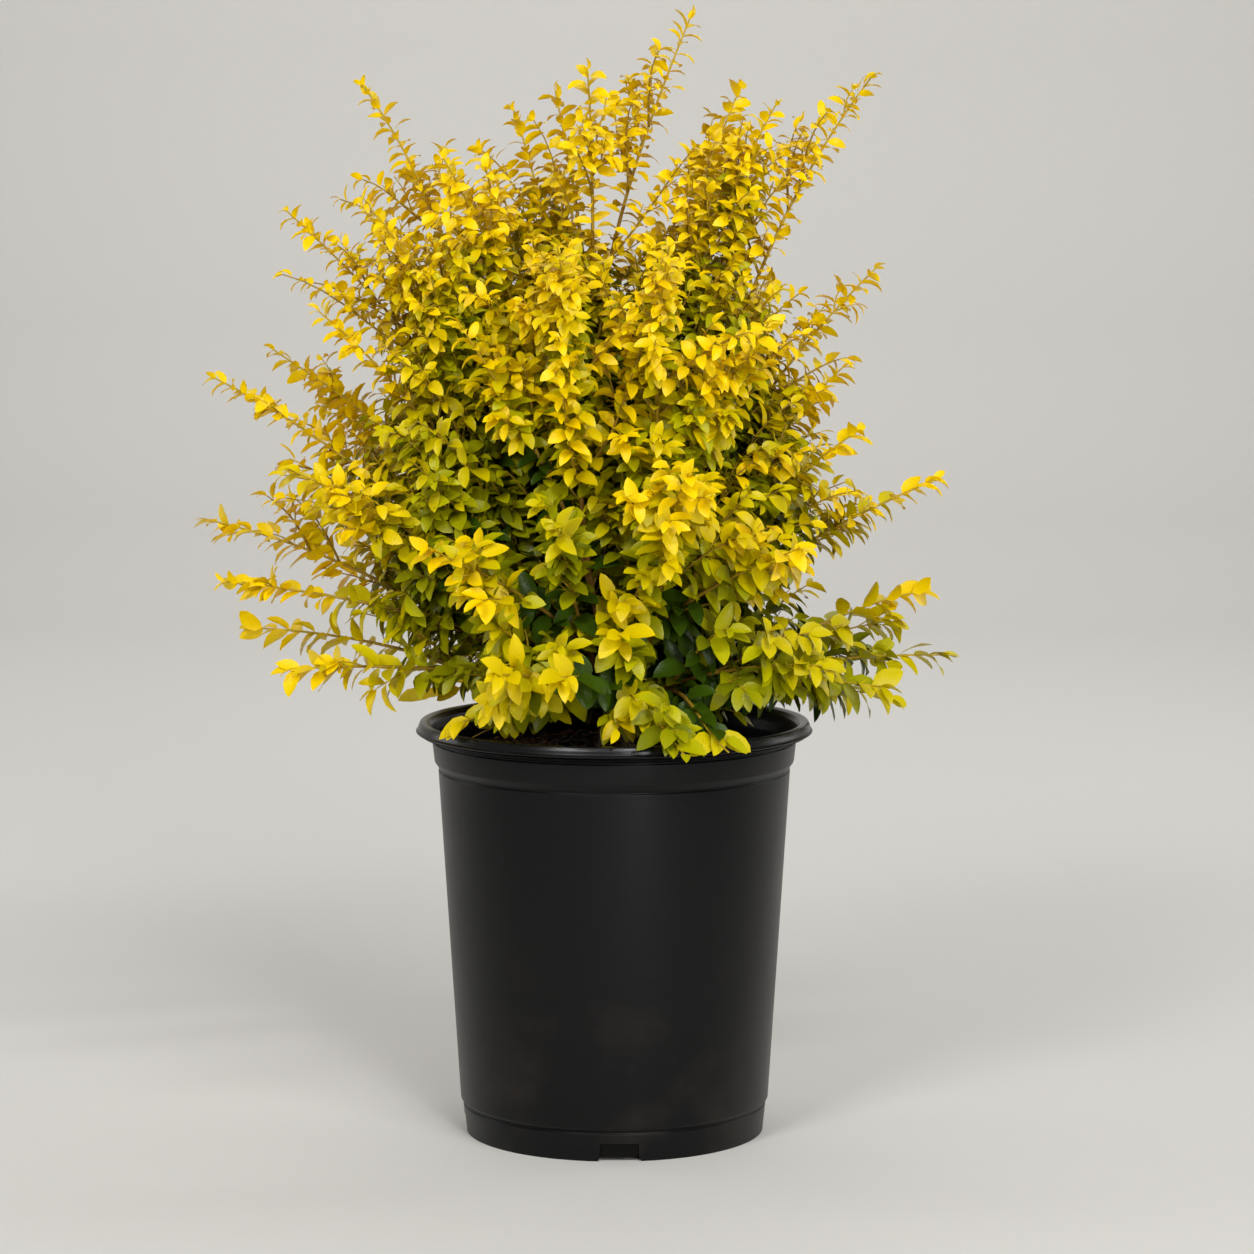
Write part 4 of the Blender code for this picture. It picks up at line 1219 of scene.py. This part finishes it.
def bark_chips(dice, count):
    """Splinters of bark strewn on the mix: a block of two end faces whose corners are each moved at
    random, stretched to its own length, turned and tipped.
    """
    corner = np.array([(x, y, z) for x in (-1, 1) for y in (-1, 1) for z in (-1, 1)], float) / 2
    shape = corner[None] * (1 + dice.uniform(-CHIP_SKEW, CHIP_SKEW, (count, 8, 3)))
    length = dice.gamma(*CHIP_SPREAD, count).clip(*CHIP_LENGTHS)
    width, height = length * dice.uniform(*CHIP_WIDTHS, count), dice.uniform(*CHIP_HEIGHTS, count)
    shape *= np.stack([length, width, height], 1)[:, None]
    turn = dice.uniform(0, math.tau, count)
    tip, roll = dice.normal(0, CHIP_TIP, count), dice.normal(0, CHIP_ROLL, (count, 1))
    ahead = np.stack([np.cos(turn) * np.cos(tip), np.sin(turn) * np.cos(tip), np.sin(tip)], 1)
    flat_side = np.stack([-np.sin(turn), np.cos(turn), np.zeros(count)], 1)
    flat_over = np.cross(ahead, flat_side)
    side = flat_side * np.cos(roll) + flat_over * np.sin(roll)
    over = flat_over * np.cos(roll) - flat_side * np.sin(roll)
    most = COLLAR_RADIUS - WALL - CHIP_CLEARANCE - length / 2
    reach = most * np.sqrt(dice.uniform(0, 1, count))
    way = dice.uniform(0, math.tau, count)
    x, y = reach * np.cos(way), reach * np.sin(way)
    centre = np.stack([x, y, mix_height(x, y) + dice.uniform(*CHIP_LIFTS, count)], 1)
    axes = np.stack([ahead, side, over], 1)
    points = centre[:, None] + (shape[..., None] * axes[:, None]).sum(2)
    quads = ((0, 1, 3, 2), (4, 6, 7, 5), (0, 4, 5, 1), (2, 3, 7, 6), (0, 2, 6, 4), (1, 5, 7, 3))
    return points * MM, [np.array(quads)]


class PRIVET_OT_mix(bpy.types.Operator):
    """Bark mix that fills the pot, and the chips that lie on it"""

    bl_idname = "privet.mix"
    bl_label = "Potting mix"

    def execute(self, context):
        settings = context.scene.privet_mix
        dice = np.random.default_rng(SEED + 1)
        points, faces = mix_bed(dice, settings.relief)
        piece("potting_mix_bed", points, faces, mix_look(settings), "potting_mix", "potting_mix")
        for name, code, part in CHIPS:
            points, faces = bark_chips(dice, settings.chips // part)
            look = chip_look(f"shredded_bark_{name}", code)
            piece(f"bark_chips_{name}", points, faces, look, "potting_mix", "potting_mix")
        return {"FINISHED"}


# Wood

TRUNK_SUNK = 1.2  # millimetres that its mesh goes down into the mix
TRUNK_ARM = 0.03  # metres that it goes straight at each end
TRUNK_END, TRUNK_END_WIDTH = (0.97, 1), (1, 0.8)  # where it narrows at the top, and to what share
FLARE_FALL, FLARE_LOBES = 7.0, ((5, 0.7, 0.22), (3, 2, 0.1))  # how many lobes, turn, share of the radius
TRUNK_RIDGES, BOUGH_RIDGES, BOUGH_RELIEF = 14, 7, 0.6
SWELLING, SWELLING_END, SWELLING_FALL = 0.45, 0.008, 0.006  # share of the radius, and metres
SCAR, SCAR_STEP, SCAR_WIDTH = 0.12, 0.014, 0.0011  # share of the radius, and metres
RIDGE_WAVES, RIDGE_BENDS, RIDGE_DRIFT = 24, (20, 260), 1.4  # bends in radians a metre, drift in radians
SHOOT_FOOT, SHOOT_TAPER = 2.2, 1.65  # millimetres: its radius at the foot, and how much thinner it ends
SHOOT_NODES, NODE_SHARE = 22, 0.16  # how many, and the share of the radius
NODE_SPREAD = 0.02  # the square of a share of the step between two
SIDE_RADII, SHORT_RADII, TWIG_RADII = (1.1, 0.45), (0.8, 0.42), (0.55, 0.36)  # at the foot and the tip
TRUNK_MESH, BOUGH_MESH, SHOOT_MESH = (90, 56), (40, 18), (56, 8)  # rings, and sides to each
SIDE_MESH, SHORT_MESH, TWIG_MESH = (9, 5), (6, 5), (4, 4)
RIPENING = (18, 24, 30, 36, 42)  # rings of a main shoot where its skin turns a step less ripe
LONG_SHOOT = 45.0  # millimetres, from which a side shoot is half ripe


def add_uv(made, places):
    """A UV map for tubes: across is the share of a turn, and along is the length in metres."""
    layer = made.data.uv_layers.new(name="UVMap")
    corner = np.empty(len(made.data.loops), np.int32)
    made.data.loops.foreach_get("vertex_index", corner)
    layer.data.foreach_set("uv", places.reshape(-1, 2)[corner].astype(np.float32).ravel())


def bark_relief(depth, dice, ridges):
    """A share of the radius by angle and length along: ridges that run lengthwise and wander slowly."""
    around = dice.integers(2, ridges, RIDGE_WAVES)
    bends = dice.uniform(*RIDGE_BENDS, RIDGE_WAVES)
    phase, drift = dice.uniform(0, math.tau, (2, RIDGE_WAVES))

    def height(angle, along):
        bend = np.sin(along[..., None] * bends + drift) * RIDGE_DRIFT
        return depth * np.sin(angle[..., None] * around + bend + phase).sum(-1) / math.sqrt(RIDGE_WAVES)

    return height


def trunk_radius(ridges):
    """The trunk's radius: its rings' own, with a flare of lobes at the root and the bark's ridges."""
    heights, radii = zip(*TRUNK_RINGS)

    def radius(share, angle, along):
        height = share * (heights[-1] + TRUNK_SUNK) - TRUNK_SUNK
        flare = np.exp(-np.maximum(height, 0) / FLARE_FALL)
        lobes = sum(part * np.sin(angle * count + turn) * flare for count, turn, part in FLARE_LOBES)
        tip = np.interp(share, TRUNK_END, TRUNK_END_WIDTH)
        return np.interp(height, heights, radii) * MM * (1 + lobes + ridges(angle, along)) * tip

    return radius


def bough_radius(ridges):
    """A bough's radius: tapering, with a swelling where it leaves the trunk, a ring where each old pair
    of leaves stood, and the bark's ridges.
    """

    def radius(share, angle, along):
        past = ((along - SWELLING_END) / SWELLING_FALL).clip(0, None)
        swelling = 1 + SWELLING * np.exp(-(past**2))
        scars = 1 + SCAR * np.exp(-((along % SCAR_STEP - SCAR_STEP / 2) ** 2) / SCAR_WIDTH**2)
        plain = (BOUGH_RADIUS + (BOUGH_TIP_RADIUS - BOUGH_RADIUS) * share) * MM
        return plain * swelling * scars * (1 + ridges(angle, along))

    return radius


def shoot_radius(share, angle, along):
    """A main shoot's radius: tapering, and swollen at even steps, as where pairs of leaves stand."""
    nodes = 1 + NODE_SHARE * np.exp(-(((share * SHOOT_NODES) % 1 - 0.5) ** 2) / NODE_SPREAD)
    return (SHOOT_FOOT - SHOOT_TAPER * share**0.8) * nodes * MM


class PRIVET_OT_bark(bpy.types.Operator):
    """Trunk with its root flare, and a bough to each mass, all with the bark's relief"""

    bl_idname = "privet.bark"
    bl_label = "Trunk and boughs"

    def execute(self, context):
        settings = context.scene.privet_wood
        dice = np.random.default_rng(SEED + 2)
        look = bark_look(settings)
        low, high = trunk_axis(-TRUNK_SUNK), trunk_axis(TRUNK_RINGS[-1][0])
        line = np.array([[low, low + UP * TRUNK_ARM, high - unit(high - low) * TRUNK_ARM, high]])
        ridges = bark_relief(settings.relief, dice, TRUNK_RIDGES)
        points, faces, places = tubes(line, trunk_radius(ridges), *TRUNK_MESH)
        add_uv(piece("trunk_bark", points, faces, look, "bark", "trunk"), places)

        boughs, _ = limbs()
        ridges = bark_relief(settings.relief * BOUGH_RELIEF, dice, BOUGH_RIDGES)
        curves = np.stack(list(boughs.values()))
        points, faces, places = tubes(curves, bough_radius(ridges), *BOUGH_MESH)
        nodes = [name.replace("foliage", "bough") for name in boughs]
        add_uv(piece("bough_bark", points, faces, look, "bark", *nodes), places)
        return {"FINISHED"}


def growth(context):
    """The crown that the settings give."""
    settings = context.scene.privet_leaves
    return crown(settings.side_reach, settings.twig_reach, settings.size, SEED)


def foliage_nodes():
    """The names of the masses that the leaves and shoots stand for."""
    return [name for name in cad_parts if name.startswith("foliage_")]


class PRIVET_OT_shoots(bpy.types.Operator):
    """Main shoots, side shoots and twigs, brown where they are ripe and gold-green where they are young"""

    bl_idname = "privet.shoots"
    bl_label = "Shoots and twigs"

    def execute(self, context):
        settings = context.scene.privet_wood
        grown, stand = growth(context), foliage_nodes()
        ripe, young = np.array(settings.shoot), np.array(settings.young)
        young_look = stem_look("young_privet_twig", tuple(young), roughness=0.5)
        half_ripe = stem_look("half_ripe_privet_shoot", tuple((ripe + young) / 2), roughness=0.52)
        _, shoots = limbs()
        main = np.concatenate(list(shoots.values()))
        points, faces, _ = tubes(main, shoot_radius, *SHOOT_MESH)
        for step, band in enumerate(length_bands(*faces, SHOOT_MESH[1], RIPENING)):
            colour = ripe + (young - ripe) * step / len(RIPENING)
            look = stem_look(f"privet_shoot_ripeness_{step + 1}", tuple(colour), roughness=0.53)
            piece(f"main_shoots_{step + 1}", *used_points(points, band), look, "bark", *stand)
        side, twig = grown["side"], grown["twig"]
        long_ones = lengths_of(side) > LONG_SHOOT * MM
        for name, curves, radii, mesh, look in (
            ("side_shoots", side[long_ones], SIDE_RADII, SIDE_MESH, half_ripe),
            ("short_shoots", side[~long_ones], SHORT_RADII, SHORT_MESH, young_look),
            ("twigs", twig, TWIG_RADII, TWIG_MESH, young_look),
        ):
            points, faces, _ = tubes(curves, taper(*radii), *mesh)
            piece(name, points, faces, look, "bark", *stand)
        return {"FINISHED"}


def length_bands(quads, fans, sides, cuts):
    """A tube's faces in bands along it, which end at these rings. The tube's ends go with the outer two."""
    band = np.searchsorted(cuts, quads[:, 0] // sides, side="right")
    bands = [[quads[band == number]] for number in range(len(cuts) + 1)]
    bands[0].append(fans[:sides])
    bands[-1].append(fans[sides:])
    return bands


def used_points(points, faces):
    """Each copy's points that its faces use, and the faces numbered by them."""
    used = np.unique(np.concatenate([some.ravel() for some in faces]))
    return points[:, used], [np.searchsorted(used, some) for some in faces]


def tint_colours(settings):
    """The leaf colours from shade to full light: green to lime, then lime to gold, in equal steps."""
    share = np.linspace(0, 1, TINTS)
    colours = np.array([tuple(settings.green), tuple(settings.lime), tuple(settings.gold)])
    return np.stack([np.interp(share, (0, 0.5, 1), colours[:, n]) for n in range(3)], 1)


class PRIVET_OT_leaves(bpy.types.Operator):
    """All the leaves, each tint a piece of its own"""

    bl_idname = "privet.leaves"
    bl_label = "Leaves"

    def execute(self, context):
        grown = growth(context)
        for tint, colour in enumerate(tint_colours(context.scene.privet_leaves)):
            blades = grown["blades"][grown["tint"] == tint]
            look = leaf_look(f"privet_leaf_tint_{tint + 1}", tuple(colour), 1 - tint / (TINTS - 1))
            for part, some in enumerate(np.array_split(blades, math.ceil(len(blades) / MOST_LEAVES))):
                name = f"leaves_tint_{tint + 1}_{part + 1}"
                piece(name, some, leaf_faces(), look, "foliage", *foliage_nodes())
        return {"FINISHED"}


# Studio, in metres and watts

FLOOR_PROFILE, FLOOR_BEND = ((-6.5, 0), (4.6, 0), (4.6, 3.6)), 1.6
FLOOR_SIDES = (-6.5, 0, 6.5)
SHRUB, BACKDROP = (0, 0, 0.42), (0, 4.2, 0.5)
LIGHTS = (  # name, place, what it faces, width, height and power
    ("key_light", (-1.3, -2.5, 2.2), SHRUB, 0.9, 0.9, 38),
    ("fill_light", (0.8, -2.75, 0.95), SHRUB, 0.45, 1.5, 26),
    ("top_light", (0.9, -2.2, 2.35), SHRUB, 1.7, 0.24, 38),
    ("left_light", (-2.2, 0.9, 1.0), SHRUB, 1.0, 1.4, 9),
    ("right_light", (2.1, 1.0, 1.0), SHRUB, 1.0, 1.4, 10),
    ("wall_light", (0.0, 1.9, 3.3), BACKDROP, 2.6, 1.0, 62),
)
ROOM_LIGHT = 0.23


def aim_at(made, target):
    """Turns a light so that its -Z looks at a point."""
    line = np.array(target, float) - np.array(made.location, float)
    flat = math.hypot(line[0], line[1])
    made.rotation_euler = (math.atan2(flat, -line[2]), 0, math.atan2(-line[0], line[1]))


def lay_floor(colour):
    """A floor that bends up to a backdrop: its outline in depth and height, drawn out sideways."""
    y, z = rounded(FLOOR_PROFILE, FLOOR_BEND).T
    points = np.stack(np.broadcast_arrays(np.array(FLOOR_SIDES, float)[:, None], y, z), -1)
    here = np.arange(len(FLOOR_SIDES) - 1)[:, None] * len(y) + np.arange(len(y) - 1)
    quads = np.stack([here, here + len(y), here + len(y) + 1, here + 1], -1)
    mesh = bpy.data.meshes.new("studio_floor")
    mesh.from_pydata(points.reshape(-1, 3).tolist(), [], quads.reshape(-1, 4).tolist())
    mesh.update()
    mesh.shade_smooth()
    look, _ = new_look("painted_studio_floor", colour, {"Roughness": 0.9})
    mesh.materials.append(look)
    return bpy.data.objects.new("studio_floor", mesh)


class PRIVET_OT_studio(bpy.types.Operator):
    """Pale floor with a curved backdrop, soft lights and the photograph's camera"""

    bl_idname = "privet.studio"
    bl_label = "Studio"

    def execute(self, context):
        settings = context.scene.privet_stage
        scene = context.scene
        floor = lay_floor(tuple(settings.floor))
        scene.collection.objects.link(floor)

        for name, place, target, wide, tall, power in LIGHTS:
            light = bpy.data.lights.new(name, "AREA")
            light.shape = "RECTANGLE"
            light.size, light.size_y = wide, tall
            light.energy = power * settings.light
            lamp = bpy.data.objects.new(name, light)
            lamp.location = place
            scene.collection.objects.link(lamp)
            aim_at(lamp, target)

        world = bpy.data.worlds.new("studio_light")
        world.use_nodes = True
        background = world.node_tree.nodes["Background"]
        background.inputs["Color"].default_value = (*linear("#f2f0ec"), 1)
        background.inputs["Strength"].default_value = ROOM_LIGHT * settings.light
        scene.world = world

        camera = bpy.data.objects.new("camera", bpy.data.cameras.new("camera"))
        camera.data.sensor_width = SENSOR
        camera.data.lens = PHOTO_FOCAL / PHOTO_SIDE * SENSOR
        camera.location = CAMERA_PLACE
        camera.rotation_euler = (math.radians(90 - CAMERA_DOWN), 0, 0)
        scene.collection.objects.link(camera)
        scene.camera = camera
        scene.view_settings.view_transform = "Standard"  # keeps the leaves' full yellow
        return {"FINISHED"}


OPERATORS = (
    PRIVET_OT_pot,
    PRIVET_OT_mix,
    PRIVET_OT_bark,
    PRIVET_OT_shoots,
    PRIVET_OT_leaves,
    PRIVET_OT_studio,
)


class PRIVET_PT_panel(bpy.types.Panel):
    """Lists the settings and the steps"""

    bl_idname = "PRIVET_PT_panel"
    bl_label = "Golden privet"
    bl_space_type = "VIEW_3D"
    bl_region_type = "UI"
    bl_category = "Privet"

    def draw(self, context):
        for name, group in SETTINGS.items():
            box = self.layout.box()
            box.label(text=group.__doc__)
            for key in group.__annotations__:
                box.prop(getattr(context.scene, name), key)
        for operator in OPERATORS:
            self.layout.operator(operator.bl_idname)


def register():
    for group in (*SETTINGS.values(), *OPERATORS, PRIVET_PT_panel):
        bpy.utils.register_class(group)
    for name, group in SETTINGS.items():
        setattr(bpy.types.Scene, name, PointerProperty(type=group))


def unregister():
    for name in SETTINGS:
        delattr(bpy.types.Scene, name)
    for group in reversed((*SETTINGS.values(), *OPERATORS, PRIVET_PT_panel)):
        bpy.utils.unregister_class(group)


def main():
    register()
    bpy.ops.privet.pot()
    bpy.ops.privet.mix()
    bpy.ops.privet.bark()
    bpy.ops.privet.shoots()
    bpy.ops.privet.leaves()
    bpy.ops.privet.studio()
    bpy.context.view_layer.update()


if __name__ == "__main__":
    main()
